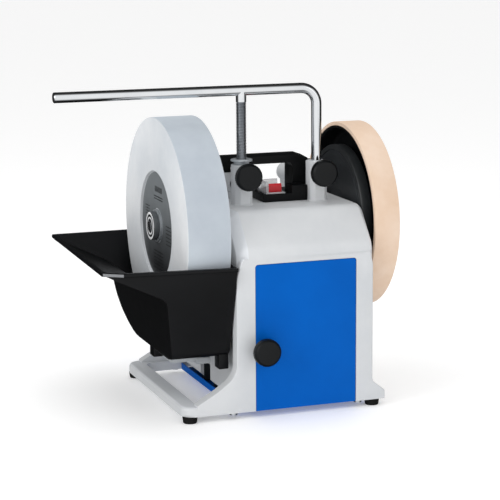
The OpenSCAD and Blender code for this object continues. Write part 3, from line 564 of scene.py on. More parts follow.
CAST = {"rough": (0.42, 0.5), "metallic": 0.08, "grain": 700, "bump": 0.08, "specular": 0.4}
cast_silver = finish("cast_silver", "d2d4d6", "c8cbce", **CAST)
# Painted light: a lighter copy of the cast finish, for faces of the casting that catch more light.
painted_light_silver = finish("painted_light_silver", "dcdfe3", "d3d7db", **CAST)
blue_coat = finish("blue_coat", "005cb8", "0057b0", (0.4, 0.48), grain=900, bump=0.04, specular=0.05)
black_mould = finish(
    "black_mould", "070809", "0b0c0e", (0.42, 0.52), grain=1400, bump=0.14, specular=0.12)
trough_mould = finish(
    "trough_mould", "08090b", "0d0e11", (0.38, 0.46), grain=1600, bump=0.10, specular=0.17)
# Painted highlight: a light grey copy of the trough's black plastic, for the front-left lip facet.
lip_painted_highlight = finish("lip_painted_highlight", "77797c", "8b8d90", (0.3, 0.4), grain=1600, bump=0.10, specular=0.4)
knob_mould = finish("knob_mould", "0a0c0e", "101315", (0.36, 0.46), grain=1500, bump=0.08, specular=0.2)
dark_mould = finish("dark_mould", "26292c", "2e3134", (0.4, 0.5), grain=1200, bump=0.12, specular=0.3)
# Painted highlight: the tyre's rubber is a lighter grey than the feet's rubber, standing in for light caught
# on its rounded rim; its higher specular is its own.
tyre_rubber_painted_highlight = finish("tyre_rubber_painted_highlight", "1e2123", "2a2d2f", (0.4, 0.5), grain=1500, bump=0.1, specular=0.6)
rubber = finish("rubber", "0e0e0e", "141414", (0.7, 0.85), grain=1500, bump=0.2, specular=0.2)
chrome = finish("chrome", "dfe1e3", "d6d9dc", (0.05, 0.08), 1.0, cloud=30, grain=200, bump=0.01)
turned_steel = finish(
    "turned_steel", "c9cbce", "b9bcc0", (0.16, 0.26), 1.0, rings=1800, centre=ON_SHAFT, bump=0.12)
screw_steel = finish("screw_steel", "b9bcc0", "a7abb0", (0.25, 0.38), 1.0, grain=900, bump=0.08)
spring_steel = finish("spring_steel", "6d7074", "5c5f63", (0.3, 0.45), 1.0, grain=700, bump=0.08)
die_zinc = finish("die_zinc", "c2c7cb", "b2b8bd", (0.3, 0.42), 0.6, grain=800, bump=0.12)
carrier_cast = finish("carrier_cast", "c4c8cb", "b7bcc0", (0.4, 0.5), 0.2, grain=800, bump=0.12)
grit_stone = finish(
    "grit_stone", "d6d8da", "b9bfc5", (0.85, 0.95), grain=1500, speck=(1100, 0.14), bump=0.25,
    cloud=6, specular=0.1)
# Painted shade: a darker, bluer copy of the stone's finish for its tread.
stone_tread_painted_shade = finish(
    "stone_tread_painted_shade", "b0b8c1", "bdc5cc", (0.8, 0.9), grain=1500, speck=(1100, 0.12), bump=0.25,
    cloud=14, specular=0.2)
# The label's finish is partly its own dark grey and partly painted reflection: lighter above the shaft,
# darker below it.
painted_reflection_label = finish(
    "painted_reflection_label", "777c7f", "2b2c2e", (0.35, 0.45), grain=600, bump=0.02, specular=0.4,
    painted_reflection_heights=(shaft_z + 30, shaft_z - 50))
label_ink = finish("label_ink", "1b1d1f", "121314", (0.35, 0.45), grain=900, bump=0.02, specular=0.3)
pale_mould = finish("pale_mould", "e6e7e8", "dcdee0", (0.4, 0.5), grain=900, bump=0.05)
nut_side = finish("nut_side", "4b4f52", "5b5f62", (0.35, 0.45), grain=900, bump=0.08)
hide = finish(
    "hide", "e4cdb9", "d9bba0", (0.62, 0.78), grain=420, speck=(260, 0.06), bump=0.22, cloud=16,
    specular=0.3)
red_gloss = finish(
    "red_gloss", "c4202a", "b81c26", (0.2, 0.28), coat=0.2, grain=800, bump=0.03, specular=0.3)
clear_cover = finish(
    "clear_cover", "d9dcdf", "cfd3d6", (0.12, 0.2), coat=0.4, grain=600, bump=0.03, alpha=0.45)
nylon = finish("nylon", "dcdacb", "d0cdbc", (0.45, 0.55), grain=900, bump=0.08)
enamel = finish("enamel", "3a3f42", "33383b", (0.35, 0.5), coat=0.2, grain=700, bump=0.12)
laminate = finish(
    "laminate", "8a8d91", "7b7e82", (0.35, 0.5), 1.0, rings=2600, centre=ON_MOTOR, bump=0.4)
copper_wire = finish(
    "copper_wire", "b0642c", "98521f", (0.25, 0.38), 0.9, rings=1100, centre=ON_MOTOR, bump=0.9)
ferrite = finish("ferrite", "2b2b2d", "343436", (0.5, 0.65), grain=900, bump=0.15)
can_film = finish("can_film", "e2e1da", "d6d5cc", (0.3, 0.4), coat=0.2, grain=500, bump=0.04)

FINISH_OF_SLOT = {
    "cast_housing": cast_silver, "blue_sheet": blue_coat, "black_plastic": black_mould,
    "glass_nylon": nylon, "clear_plastic": clear_cover, "red_plastic": red_gloss,
    "dark_plastic": dark_mould, "rubber": rubber, "screw_steel": screw_steel,
    "spring_steel": spring_steel, "chrome_bar": chrome, "stainless": turned_steel,
    "zinc": die_zinc, "grindstone": grit_stone, "label_paper": painted_reflection_label, "leather": hide,
    "motor_steel": enamel, "laminated_steel": laminate, "copper": copper_wire, "magnet": ferrite,
}
slot_of_node = {s["node"]: s["material_slot"] for s in frame["record"]["subparts"]}
for node_name, node_object in frame["nodes"].items():
    node_finish = can_film if node_name == "capacitor" else FINISH_OF_SLOT[slot_of_node[node_name]]
    node_object.data.materials.clear()
    node_object.data.materials.append(node_finish)


# ---- Finished pieces --------------------------------------------------------


def piece(name, bm, material, body, stands_for=(), smooth=35):
    """Puts a solid into the frame as a finished piece of that body."""
    bm.transform(TO_FRAME)
    obj = as_object(name, bm)
    mesh = obj.data
    for mat in material if isinstance(material, (list, tuple)) else [material]:
        mesh.materials.append(mat)
    for poly in mesh.polygons:
        poly.use_smooth = True
    mesh.set_sharp_from_angle(angle=math.radians(smooth))
    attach(obj, body)
    if stands_for:
        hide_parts(*stands_for)
    return obj


def eased_copy(name, node, width, body, material=None, segments=2, angle=30):
    """A CAD node's shape with its sharp edges eased, in place of the node."""
    return piece(name, ease(cad_copy(node), width, segments, angle=angle),
                 material or FINISH_OF_SLOT[slot_of_node[node]], body, (node,))


def paint(bm, slot, test):
    """Gives the faces that test(middle, normal) picks another of the piece's finishes."""
    bm.normal_update()
    for face in bm.faces:
        if test(face.calc_center_median(), face.normal):
            face.material_index = slot
    return bm


# ---- Housing ------------------------------------------------------------------


def housing_profile(inset, floor):
    """Side view of the cast shell, in (y, z)."""
    corners = [
        (front_y + inset, floor), (front_y + inset, slope_z - inset * 0.4),
        (front_y + slope_in + inset * 0.4, top_z - inset),
        (back_y - slope_in - inset * 0.4, top_z - inset),
        (back_y - inset, slope_z - inset * 0.4), (back_y - inset, floor),
    ]
    return fillet(corners, [0, 22, 14, 14, 22, 0], 7)


def near_x(x):
    return lambda e: all(abs(v.co.x - x) < 0.01 for v in e.verts)


def cast_shell():
    """The shell with its side edges bevelled, and the bevels' own edges eased near the slopes."""
    shell = along("X", housing_profile(coplanar_step, sheet_z), left_x, right_x)
    for edge_x, width in ((left_x, left_bevel), (right_x, right_bevel)):
        shell = ease(shell, width, 1, keep=near_x(edge_x))
        shell = ease(shell, 1.0, 2, keep=lambda e: all(
            abs(v.co.x - edge_x) < width + 0.1 and v.co.z > slope_z - 60 for v in e.verts))
    return shell


def flange_plate(y0, y1):
    """The deep front or rear flange with its flare down to the frame."""
    side_x = right_x - coplanar_step
    left = fillet([
        (panel_x0 - panel_gap, slope_z - 13), (left_x + 5, slope_z - 5), (lip_x, slope_z - 30),
        (lip_x, 50), (lip_x - 22.8, 33.7), (outrigger_x + 16, outrigger_top + 1.5),
        (outrigger_x + 16, frame_z), (panel_x0 - panel_gap, frame_z),
    ], [0, 14, 34, 26, 30, 0, 0, 0], 6)
    right = fillet([
        (panel_x1 + panel_gap, frame_z), (right_x + 15.5, frame_z), (right_x + 15.5, 17.2),
        (right_x + 13.6, 18.8), (side_x, 29.5), (side_x, slope_z - 24), (right_x - 4, slope_z - 8),
        (panel_x1 + panel_gap, slope_z - 13),
    ], [0, 0, 2, 4, 8, 20, 4, 0], 5)
    outside = front_y if y0 <= front_y + 0.01 else back_y

    def outer_rim(e):
        on_face = all(abs(v.co.y - outside) < 0.01 for v in e.verts)
        return on_face and not all(abs(v.co.z - frame_z) < 0.01 for v in e.verts) and not any(
            panel_x0 - 1 < v.co.x < panel_x1 + 1 for v in e.verts)

    plates = [along("Y", outline, y0, y1) for outline in (left, right)]
    return [ease(p, 4.5, 4, keep=outer_rim) for p in plates]


def outrigger():
    """The low frame that reaches out under the trough."""
    outer = fillet(rectangle(outrigger_x, front_y, left_x + 1, back_y), [16, 0, 0, 16], 10)
    inner = fillet(rectangle(outrigger_x + outrigger_w, front_y + flange, left_x + 20, back_y - 20),
                   [8, 0, 0, 8], 8)

    def top_rim(e):
        return all(abs(v.co.z - outrigger_top) < 0.01 for v in e.verts) and not all(
            v.co.x > left_x for v in e.verts)

    low_frame = ease(along("Z", outer, frame_z, outrigger_top), 3.5, 4, keep=top_rim)
    return combine(low_frame, [along("Z", inner, 0, 60)], "DIFFERENCE")


def sleeve(x):
    """Upright sleeve with chamfered corners that spreads a little at its foot."""
    half, cut = 10.5, 5.0

    def section(z, grow):
        h, d = half + grow, sleeve_deep + grow
        outline = [
            (-h + cut, -d), (h - cut, -d), (h, -d + cut), (h, d - cut),
            (h - cut, d), (-h + cut, d), (-h, d - cut), (-h, -d + cut),
        ]
        return [(x + a, leg_y + b, z) for a, b in fillet(outline, 0.7, 2)]

    return loft([
        section(top_z - 2, 1.6), section(top_z + 0.2, 1.2), section(top_z + 1.0, 0.4),
        section(top_z + 2.2, 0.0), section(sleeve_top - 0.9, 0.0),
        section(sleeve_top - 0.3, -0.3), section(sleeve_top, -0.9),
    ])


def rear_sleeve(x, y0):
    """Sleeve lying along Y on a short web."""
    y1 = rear_sleeve_y1
    middle_y, half = (y0 + y1) / 2, (y1 - y0) / 2
    tube = rod("Y", y0, y1, rear_sleeve_r, (x, 0, rear_sleeve_z), 48, 1.0)
    web = ease(block((x - 7, y0 + 0.6, top_z - 2), (x + 7, y1 - 0.6, rear_sleeve_z)), 0.8, 2)
    foot = loft([
        [(x + a * g, middle_y + b * (half + grow), top_z + up)
         for a, b in ((-1, -1), (1, -1), (1, 1), (-1, 1))]
        for g, grow, up in ((9.5, 2.5, -2), (9.2, 2.2, 0.2), (7.2, -0.4, 2.4), (6.0, -2, 6))
    ])
    return [tube, web, foot]


def housing_additions():
    """All that stands on the shell: frame, flanges, sleeves, handle post, bosses, motor lugs."""
    added = [outrigger()]
    for span in ((front_y, front_y + flange), (back_y - flange, back_y)):
        added += flange_plate(*span)
    added += [sleeve(x) for x in (leg_x0, leg_x1)]
    for x, y0 in REAR_SLEEVES:
        added += rear_sleeve(x, y0)
    added.append(ease(block((handle_lo.x, handle_lo.y + 1, rear_sleeve_z + 4),
                            (leg_x0 + 5, handle_hi.y, top_z + 34)), 1.0, 2))
    added.append(rod("X", left_x + 1, left_x + wall + 10, shaft_boss_r, ON_SHAFT))
    added.append(rod("X", right_x - wall - 10, right_x - 1, shaft_boss_r, ON_SHAFT))
    for lo, hi in PIVOT_LUGS:
        added.append(block((lo, pivot_y - 9, motor_z - 10), (hi, pivot_y + 9, slope_z + 4)))
        added.append(block((lo, pivot_y - 9, slope_z), (hi, pivot_y - 2, top_z - wall)))
    return added


def housing_holes():
    """The window for the sheet, and the bores for shafts, pivot, rack, bars and locking screws."""
    window = rectangle(panel_x0 - panel_gap, -1, panel_x1 + panel_gap, panel_top + panel_gap)
    holes = [
        along("Y", fillet(window, [0, 0, 3.5, 3.5], 5), front_y - 5, back_y + 5),
        rod("X", left_x - 1, left_x + wall + 12, bush_r, ON_SHAFT),
        rod("X", right_x - wall - 12, right_x + 1, bush_r, ON_SHAFT),
        rod("X", right_x - wall - 1, right_x + 1, spindle_hole_r, ON_MOTOR),
        block((left_x - 6, -rack_slot_half, sheet_z + 1),
              (left_x + wall + 1, rack_slot_half, rack_slot_top)),
        rod("X", -50, 62, lock_bore_r, (0, pivot_y, motor_z), 24),
    ]
    for x, y0 in REAR_SLEEVES:
        holes.append(rod("Y", y0 - 1, rear_sleeve_y1 + 1, bore_r, (x, 0, rear_sleeve_z), 32))
    for lo, hi in ((-80, leg_x0), (leg_x1, 60)):
        holes.append(rod("X", lo, hi, lock_bore_r, (0, rear_lock_y, rear_sleeve_z), 24))
    for x in (leg_x0, leg_x1):
        holes.append(rod("Z", top_z - 8, sleeve_top + 1, bore_r, (x, leg_y, 0), 32))
        holes.append(rod("Y", leg_y - 14, leg_y, lock_bore_r, (x, 0, lock_z), 24))
    return holes


def housing_casting():
    hollow = along("X", housing_profile(wall, 0), left_x + wall, right_x - wall)
    hollow = ease(hollow, left_bevel - 2, 1, keep=near_x(left_x + wall))
    hollow = ease(hollow, right_bevel - 2, 1, keep=near_x(right_x - wall))
    shell = combine(cast_shell(), [hollow], "DIFFERENCE")
    shell = combine(shell, housing_additions(), "UNION")
    shell = combine(shell, housing_holes(), "DIFFERENCE")
    bmesh.ops.holes_fill(shell, edges=[e for e in shell.edges if e.is_boundary], sides=8)
    return shell


def on_front_bevel(middle, normal):
    return (slope_z - 20 < middle.z < top_z - 1 and middle.y < 0 and 0.4 < abs(normal.x) < 0.9
            and not left_x + left_bevel <= middle.x <= right_x - right_bevel)


def on_outrigger_top(middle, normal):
    return normal.z > 0.7 and outrigger_top - 4 < middle.z < outrigger_top + 1 and middle.x < left_x + 5


# Painted light: the bevel bands beside the front slope and the outrigger's top faces take a lighter copy of
# the cast finish, though they are the same metal.
casting = paint(housing_casting(), 1, lambda middle, normal: (
    on_front_bevel(middle, normal) or on_outrigger_top(middle, normal)))
piece("housing_casting", casting, [cast_silver, painted_light_silver], "base", ("housing",), smooth=30)
eased_copy("folded_body_sheet", "body_sheet", 0.35, "base")
eased_copy("moulded_handle", "handle", 2.2, "base", segments=4)
eased_copy("moulded_handle_foot", "handle_base", 0.9, "base", segments=3)
eased_copy("switch_surround", "switch_body", 0.4, "base")
eased_copy("switch_splash_cover", "switch_bezel", 0.5, "base")
eased_copy("switch_rocker_cap", "rocker", 0.6, "switch_rocker", segments=3)

# ---- Stone, label and nut -----------------------------------------------------

recess_x = stone_lo.x + 3.4
recess_r = 62.5
stone_profile = fillet([
    (recess_x, bore_r), (recess_x, recess_r), (stone_lo.x, recess_r + 0.8), (stone_lo.x, stone_r),
    (stone_hi.x, stone_r), (stone_hi.x, bore_r),
], [0, 1.5, 1.0, 0.8, 0.8, 0], 3)
# Painted shade: the tread faces take the darker, bluer copy of the stone's finish.
stone = paint(lathe(stone_profile, "X", ON_SHAFT, 160), 1, lambda middle, normal: (
    abs(normal.x) < 0.5 and math.hypot(middle.y, middle.z - shaft_z) > stone_r - 2))
piece("grindstone_wheel", stone, [grit_stone, stone_tread_painted_shade], "wheel_shaft", ("grinding_stone",))


def on_shaft_face(bm, x):
    """Turns a flat ring drawn in XY so that it faces along the shaft at x."""
    bm.transform(Matrix.Translation((x, 0, shaft_z)) @ Matrix.Rotation(math.pi / 2, 4, "Y"))
    return bm


def label_lines(count, top, side, length, thick=0.9, step=3.4):
    """Printed lines that run level, below each other from top. side is towards the user."""
    lines = run_tree(BARS_IN_ROW, {
        "Count": count, "Pitch": (step, 0, 0), "Bar Size": (thick, length, 0.12), "Material": label_ink})
    lines.transform(Matrix.Translation((-top, -side, 0)))
    return lines


label_x = recess_x - 0.6
bold_marks = run_tree(BARS_IN_ROW, {
    "Count": 7, "Pitch": (0, 4.1, 0), "Bar Size": (6.5, 2.3, 0.12), "Material": label_ink})
bold_marks.transform(Matrix.Translation((-42, -17, 0)))
label_bars = joined(
    bold_marks, label_lines(2, 33.5, 4, 34, 1.0, 3.0), label_lines(4, 18, -40, 16),
    label_lines(6, 4, 42, 20, 1.1, 4.2), label_lines(6, -31, 2, 36, 1.2, 4.0),
)
piece("label_marks", on_shaft_face(label_bars, label_x), label_ink, "wheel_shaft")

nut_lo, nut_hi = machine_box("stone_nut")
nut_r = 16.5


def lobed(radius, depth, lobes, count=96):
    """A round outline with shallow lobes."""
    return [
        Vector((math.cos(a), math.sin(a))) * (radius - depth * (0.5 - 0.5 * math.cos(lobes * a)))
        for a in (math.tau * i / count for i in range(count))
    ]


def lobed_knob(x_and_grow, radius, depth, lobes):
    """A lobed solid along the shaft through sections given as (x, what is added to the radius)."""
    return loft([
        [(x, p.x, shaft_z + p.y) for p in lobed(radius + grow, depth, lobes)] for x, grow in x_and_grow])


nut_front = nut_lo.x
nut = lathe(fillet([
    (nut_hi.x, bore_r), (nut_hi.x, nut_r), (nut_front, nut_r), (nut_front, 13.2),
    (nut_front + 0.5, 13.0), (nut_front + 0.5, 10.6), (nut_front, 10.4), (nut_front, 8.4),
    (nut_front + 1.2, 8.2), (nut_front + 1.2, bore_r),
], [0, 0.8, 1.0, 0.2, 0, 0, 0.2, 0.2, 0, 0], 3), "X", ON_SHAFT, 96)
nut = paint(nut, 1, lambda middle, normal: normal.x < -0.6)
nut = paint(nut, 2, lambda middle, normal: middle.x > nut_front + 0.3 and normal.x < -0.6)
piece("stone_clamping_nut", nut, [nut_side, pale_mould, knob_mould], "clamping_nut", ("stone_nut",))

# ---- Honing wheel ----------------------------------------------------------------


def turned_piece(name, points, radii, steps, count, material, node):
    """A finished piece of the shaft's body, turned about the shaft from a rounded profile."""
    solid = lathe(fillet(points, radii, steps), "X", ON_SHAFT, count)
    return piece(name, solid, material, "wheel_shaft", (node,))


dish_r = honing_r - 4.5
turned_piece("leather_band", [
    (leather_lo.x, dish_r), (leather_lo.x, honing_r), (leather_hi.x, honing_r), (leather_hi.x, dish_r),
], [0, 1.0, 1.0, 0], 3, 160, hide, "honing_leather")
hub_x0 = machine_box("honing_dish")[0].x + 8.3
turned_piece("honing_wheel_dish", [
    (hub_x0, 17), (leather_hi.x - 9, 17), (leather_hi.x - 9, dish_r - 5),
    (leather_lo.x + 0.4, dish_r - 3), (leather_lo.x + 0.4, dish_r), (leather_hi.x - 0.4, dish_r),
    (leather_hi.x - 0.4, dish_r - 3.5), (leather_hi.x - 4, dish_r - 7), (leather_hi.x - 4, 24),
    (leather_hi.x, 20), (leather_hi.x, bore_r), (hub_x0, bore_r),
], [1, 3, 6, 1, 0.6, 0.6, 1, 5, 5, 1, 0, 0], 4, 128, knob_mould, "honing_dish")

drive_lo, drive_hi = machine_box("drive_wheel")
tyre_lo, tyre_hi = machine_box("drive_tyre")
tyre_r = (tyre_hi.z - tyre_lo.z) / 2
turned_piece("drive_wheel_disc", [
    (drive_lo.x, shaft_r), (drive_lo.x, 17), (drive_lo.x + 2.5, 30), (drive_lo.x + 1.2, tyre_r - 13),
    (drive_lo.x, tyre_r - 6), (drive_hi.x, tyre_r - 6), (drive_hi.x, tyre_r - 13),
    (drive_lo.x + 8, tyre_r - 15), (drive_lo.x + 8, 20), (drive_hi.x, 17), (drive_hi.x, shaft_r),
], [0, 3, 12, 5, 1.2, 1, 1, 3, 3, 1, 0], 4, 128, dark_mould, "drive_wheel")
turned_piece("drive_wheel_tyre", [
    (tyre_lo.x, tyre_r - 6), (tyre_lo.x, tyre_r), (tyre_hi.x, tyre_r), (tyre_hi.x, tyre_r - 6),
], [0, 1.5, 1.5, 0], 4, 128, tyre_rubber_painted_highlight, "drive_tyre")

lock_lo, lock_hi = machine_box("honing_knob")
honing_lock = lobed_knob([
    (lock_lo.x, -2.0), (lock_lo.x + 1.2, 0), (lock_hi.x - 3.0, 0), (lock_hi.x - 1.0, -1.2),
    (lock_hi.x, -4.0),
], 20, 3.2, 5)
shaft_bore = rod("X", lock_lo.x - 1, lock_hi.x - 5.5, bore_r, ON_SHAFT)
honing_lock = combine(honing_lock, [shaft_bore], "DIFFERENCE")
piece("honing_lock_knob", honing_lock, knob_mould, "honing_lock", ("honing_knob",))

# ---- Tool support, nut and locks ---------------------------------------------------


def swept_bar(route, radius, count=32):
    """A round bar along a route of points in a plane of constant y, with eased ends."""
    pts = [Vector(p) for p in route]
    last = len(pts) - 1
    rows = []
    for i, p in enumerate(pts):
        ahead = (pts[min(i + 1, last)] - pts[max(i - 1, 0)]).normalized()
        side = Vector((0, 1, 0))
        up = ahead.cross(side).normalized()
        sections = [(radius, 0)]
        if i == 0:
            sections = [(radius - 0.8, 0), (radius, 0.8)]
        elif i == last:
            sections = [(radius, -0.8), (radius - 0.8, 0)]
        for r, shift in sections:
            rows.append([
                p + ahead * shift + side * r * math.cos(a) + up * r * math.sin(a)
                for a in (math.tau * i / count for i in range(count))
            ])
    return loft(rows)


bend_r = 19.0
leg_bottom = support_lo.z
corner = [
    (leg_x1 - bend_r + bend_r * math.cos(a), leg_y, arm_z - bend_r + bend_r * math.sin(a))
    for a in (math.pi / 2 * k / 12 for k in range(13))
]
arm = swept_bar([(leg_x1, leg_y, leg_bottom)] + corner + [(support_lo.x, leg_y, arm_z)], bar_r)
piece("support_bar", arm, chrome, "support", ("tool_support",))

thread_ridge = 0.62
core = swept_bar([(leg_x0, leg_y, leg_bottom), (leg_x0, leg_y, arm_z - 1)], bar_r - 0.95)
core = paint(core, 1, lambda middle, normal: abs(normal.z) < 0.5)

thread_pitch = 1.75
thread_z0, thread_z1 = leg_bottom + 3, arm_z - 12
turns = (thread_z1 - thread_z0) / thread_pitch
thread = run_tree(THREAD, {
    "Turns": turns, "Radius": bar_r - thread_ridge - 0.05, "Height": thread_z1 - thread_z0,
    "Ridge": thread_ridge, "Steps": 28, "Material": screw_steel,
})
thread.transform(Matrix.Translation((leg_x0, leg_y, thread_z0)))
collar = rod("Z", thread_z1 - 1, arm_z - 1, bar_r, (leg_x0, leg_y, 0), 32)
piece("support_thread", joined(thread, core, paint(collar, 2, lambda middle, normal: True)),
      [screw_steel, spring_steel, chrome], "support")

micro_lo, micro_hi = machine_box("micro_nut")
micro_r = (micro_hi.x - micro_lo.x) / 2
disc_bottom = micro_lo.z + 3.2
micro = lathe(fillet([
    (micro_lo.z, bore_r), (micro_lo.z, micro_r - 3.8), (disc_bottom, micro_r - 3.5),
    (disc_bottom, micro_r - 0.5), (micro_hi.z, micro_r - 0.5), (micro_hi.z, bore_r),
], [0, 0.6, 0.5, 0.8, 0.9, 0], 3), "Z", (leg_x0, leg_y, 0), 72)
knurl = run_tree(BARS_ROUND, {
    "Count": 32, "Radius": micro_r - 0.7, "Bar Size": (1.4, 1.1, micro_hi.z - disc_bottom - 1.3),
    "Material": die_zinc,
})
knurl.transform(Matrix.Translation((leg_x0, leg_y, (micro_hi.z + disc_bottom) / 2)))
piece("depth_nut_disc", joined(micro, knurl), die_zinc, "depth_nut", ("micro_nut",))


def grip_knob():
    """A round knob standing on the XY plane with its face at the top."""
    r, stem, top = 15.5, 6.5, 18.5
    body = lathe(fillet([
        (0, 0), (0, 7.4), (stem - 1.5, 8.0), (stem, 12.5), (stem + 2.2, r), (top - 2.4, r),
        (top - 0.2, r - 2.4), (top, 0),
    ], [0, 1, 1, 1.5, 2, 2.0, 0.8, 0], 4), "Z", (0, 0, 0), 64)
    ribs = run_tree(BARS_ROUND, {
        "Count": 36, "Radius": r - 0.35, "Bar Size": (1.1, 1.0, top - stem - 6.4), "Material": knob_mould,
    })
    ribs.transform(Matrix.Translation((0, 0, (stem + top) / 2 - 0.1)))
    return joined(body, ribs)


def put_knob(name, node, body, base, facing):
    """A knob in place. base is where the stem begins, facing the way it points."""
    turn = Vector((0, 0, 1)).rotation_difference(Vector(facing)).to_matrix().to_4x4()
    knob = grip_knob()
    knob.transform(Matrix.Translation(base) @ turn)
    piece(name, knob, knob_mould, body, (node,))


front_knob_y = leg_y - sleeve_deep - play
rear_reach = rear_sleeve_r + play
lift_lo, lift_hi = machine_box("lift_knob")
for knob_name, knob_node, knob_body, knob_base, knob_facing in (
    ("front_left_knob", "lock_knob_left", "front_lock_left",
     (leg_x0, front_knob_y, lock_z), (0, -1, 0)),
    ("front_right_knob", "lock_knob_right", "front_lock_right",
     (leg_x1, front_knob_y, lock_z), (0, -1, 0)),
    ("rear_left_knob", "rear_knob_left", "rear_lock_left",
     (leg_x0 - rear_reach, rear_lock_y, rear_sleeve_z), (-1, 0, 0)),
    ("rear_right_knob", "rear_knob_right", "rear_lock_right",
     (leg_x1 + rear_reach, rear_lock_y, rear_sleeve_z), (1, 0, 0)),
    ("trough_lift_knob", "lift_knob", "lift_drive",
     ((lift_lo.x + lift_hi.x) / 2, lift_hi.y, (lift_lo.z + lift_hi.z) / 2), (0, -1, 0)),
):
    put_knob(knob_name, knob_node, knob_body, knob_base, knob_facing)

# ---- Trough ---------------------------------------------------------------------------

rim_z = trough_hi.z
rim_lip = 2.5
trough_y0, trough_y1 = trough_lo.y + rim_lip, trough_hi.y - rim_lip
apron_x = trough_lo.x + rim_lip
trough_x1 = trough_hi.x
trough_z = machine_box("trough_lugs")[0].z + 11
tub_floor_x = stone_lo.x - 10
tub_knee_x = stone_lo.x - 22


def open_top(inset):
    """How high a tub's outline goes: a hollow, which has an inset, runs out past the rim."""
    return rim_z + (5 if inset else 0)


def tub_side(inset):
    """Side view of the tub, in (y, z)."""
    return fillet([
        (trough_y0 + inset, open_top(inset)), (trough_y0 + 29 + inset, trough_z + 8.5 + inset / 2),
        (trough_y0 + 70, trough_z + inset), (25, trough_z + inset), (52, trough_z + 3 + inset),
        (80 - inset / 2, trough_z + 13.5 + inset), (101 - inset, trough_z + 26 + inset / 2),
        (115 - inset, trough_z + 42), (121 - inset, trough_z + 61), (trough_y1 - inset, open_top(inset)),
    ], [0, 16, 40, 60, 60, 60, 40, 30, 40, 0], 5)


def tub_front(inset):
    """Front view of the tub with its apron, in (x, z)."""
    return fillet([
        (trough_x1 - inset, open_top(inset)), (trough_x1 - 1 - inset, trough_z - 1 + inset),
        (tub_floor_x + inset, trough_z - 1 + inset), (tub_knee_x + inset, rim_z - 35 + inset / 3),
        (apron_x + inset, rim_z - 3 + inset / 2), (apron_x + inset, open_top(inset)),
    ], [0, 5 - inset, 9 - inset, 14, 2, 0], 5)


corner_x, front_taper, corner_y, rear_taper = 19.5, 15.0, 12.5, 6.5
front_turn = math.atan(front_taper / (trough_x1 - apron_x - corner_x))


def apron_plan(inset, x1, y1, past=0.0):
    """Plan of the rim: its front edge tapers back to a cut corner, then it narrows to the rear.

    The corner's line runs on past the front by a share of its length."""
    return fillet([
        (x1, trough_y0 + inset - past * corner_y),
        (apron_x + (1 + past) * corner_x + 0.3 * inset, trough_y0 + front_taper + inset - past * corner_y),
        (apron_x + inset, trough_y0 + front_taper + corner_y + inset / 2),
        (apron_x + rear_taper + inset, y1), (x1, y1),
    ], [0, 0 if past else 3, 5, 3, 0], 4)


def behind_front(inset):
    """What lies behind the front wall, which turns back as its rim does."""
    side = along("X", fillet([
        (trough_y0 + inset, rim_z + 8), (trough_y0 + inset, open_top(inset)),
        (trough_y0 + 29 + inset, trough_z + 8.5 + inset / 2), (trough_y0 + 70, trough_z - 20),
        (trough_y1 + 80, trough_z - 20), (trough_y1 + 80, rim_z + 8),
    ], [0, 0, 16, 0, 0, 0], 5), apron_x - 60, trough_x1 + 60)
    return turned(side, -front_turn, "Z", (trough_x1, trough_y0, 0))


def tub_solid(inset):
    tub = along("X", tub_side(inset), apron_x - 5, trough_x1 + 5)
    return combine(tub, [
        along("Y", tub_front(inset), trough_y0 - 9, trough_y1 + 9),
        along("Z", apron_plan(inset, trough_x1 + 1, trough_y1 + 5, 0.3), 10, 300),
        behind_front(inset),
    ], "INTERSECT")


def on_front_left_lip(middle, normal):
    return (middle.z > rim_z - 4.2 and -0.75 < normal.x < -0.3 and normal.y < -0.5
            and abs(normal.z) < 0.5)


def moulded_trough():
    lip_plan = apron_plan(-rim_lip, trough_x1, trough_y1 + rim_lip)
    lip = ease(along("Z", lip_plan, rim_z - 4, rim_z), 0.9, 3)
    lugs = [
        ease(block((x - 6, y - 8, trough_z - drop), (x + 6, y + 8, trough_z + 10)), 1.5, 3)
        for x, y, drop in (
            (tub_floor_x + 9, 0, 11), (trough_x1 - 7, trough_y0 + 39, 8), (trough_x1 - 7, 62, 11))
    ]
    body = combine(tub_solid(0), [lip] + lugs, "UNION")
    body = combine(body, [tub_solid(2.2)], "DIFFERENCE")
    # Painted highlight: the front-left lip facet takes a light grey copy of the trough's black plastic.
    return paint(body, 1, on_front_left_lip)


piece("moulded_trough", moulded_trough(), [trough_mould, lip_painted_highlight], "water_trough",
      ("trough", "trough_lugs"), smooth=32)
eased_copy("trough_carrier", "lift_carriage", 0.4, "water_trough", carrier_cast)

# ---- Small pieces ------------------------------------------------------------------------

eased_copy("rubber_feet_pads", "rubber_feet", 0.8, "base", segments=3)
eased_copy("cord_inlet_gland", "cord_gland", 0.8, "base", segments=3)

# ---- Stage, lights and camera ----------------------------------------------------------------


def floor_finish():
    """Pale paint that glows a little, so that it stays as light as the room."""
    mat = bpy.data.materials.new("pale_floor")
    mat.use_nodes = True
    pale = (0.92, 0.92, 0.92, 1)
    feed(mat.node_tree, mat.node_tree.nodes["Principled BSDF"], {
        "Base Color": pale, "Roughness": 0.6, "Emission Color": pale, "Emission Strength": 0.22})
    return mat


floor = as_object("bench_top", along("Z", rectangle(-30, -10, 30, 60), -0.02, 0))
floor.data.materials.append(floor_finish())
floor.visible_glossy = False


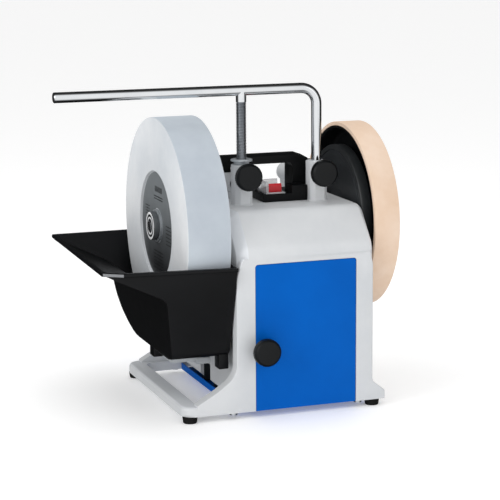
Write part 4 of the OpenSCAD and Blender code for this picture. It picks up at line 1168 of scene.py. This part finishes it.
def studio_world():
    """A white room, which reflections see as light in front and dark behind and above."""
    world = bpy.data.worlds.new("studio")
    world.use_nodes = True
    tree = world.node_tree
    direction = wired(tree, "ShaderNodeTexCoord").outputs["Generated"]
    nearness = wired(tree, "ShaderNodeVectorMath", {
        0: direction, 1: Vector((-0.35, -0.92, 0.10)).normalized()}, operation="DOT_PRODUCT")
    spread = wired(tree, "ShaderNodeMapRange", {"Value": nearness.outputs["Value"], "From Min": -1})
    room = wired(tree, "ShaderNodeValToRGB", {0: spread.outputs[0]})
    stops = ((0.0, 0.03), (0.56, 0.03), (0.64, 0.16), (0.72, 0.40), (0.78, 1.0), (1.0, 1.15))
    ramp = room.color_ramp.elements
    for place, light in stops[1:-1]:
        ramp.new(place)
    for element, (place, light) in zip(ramp, stops):
        element.position = place
        element.color = (light, light, light, 1)
    rays = wired(tree, "ShaderNodeLightPath").outputs
    mirrored = colour_mix(tree, rays["Is Glossy Ray"], (0.92, 0.92, 0.92, 1), room.outputs[0])
    seen = colour_mix(tree, rays["Is Camera Ray"], mirrored, (1.05, 1.05, 1.05, 1))
    feed(tree, tree.nodes["Background"], {"Color": seen})
    return world


bpy.context.scene.world = studio_world()


def soft_light(name, place, target, size, power):
    data = bpy.data.lights.new(name, "AREA")
    data.shape = "RECTANGLE"
    data.size, data.size_y = size
    data.energy = power
    obj = bpy.data.objects.new(name, data)
    bpy.context.scene.collection.objects.link(obj)
    obj.location = place
    obj.rotation_euler = (Vector(target) - Vector(place)).to_track_quat("-Z", "Y").to_euler()
    return obj


middle = (0, 0, 0.17)
soft_light("key", (-1.6, -0.6, 0.9), middle, (1.0, 1.0), 8)
soft_light("fill", (1.3, -1.2, 0.7), middle, (1.0, 1.2), 2)
overhead = soft_light("overhead", (0.0, 0.3, 1.7), middle, (1.4, 1.2), 5)
overhead.visible_glossy = False

camera_data = bpy.data.cameras.new("camera")
camera_data.sensor_width = 36
camera_data.lens = 130.56
camera_data.shift_x = -0.0128
camera_data.shift_y = -0.0024
camera_data.clip_end = 50
camera = bpy.data.objects.new("camera", camera_data)
bpy.context.scene.collection.objects.link(camera)
camera.location = TO_FRAME @ Vector((-739.1, -1983.9, 562.1))
camera.rotation_mode = "XYZ"
heading, tilt, roll = math.radians(19.77), math.radians(10.564), math.radians(-0.333)
camera.rotation_euler = (
    Matrix.Rotation(-heading, 3, "Z") @ Matrix.Rotation(math.pi / 2 - tilt, 3, "X")
    @ Matrix.Rotation(roll, 3, "Z")
).to_euler()
bpy.context.scene.camera = camera
bpy.context.scene.view_settings.view_transform = "Standard"
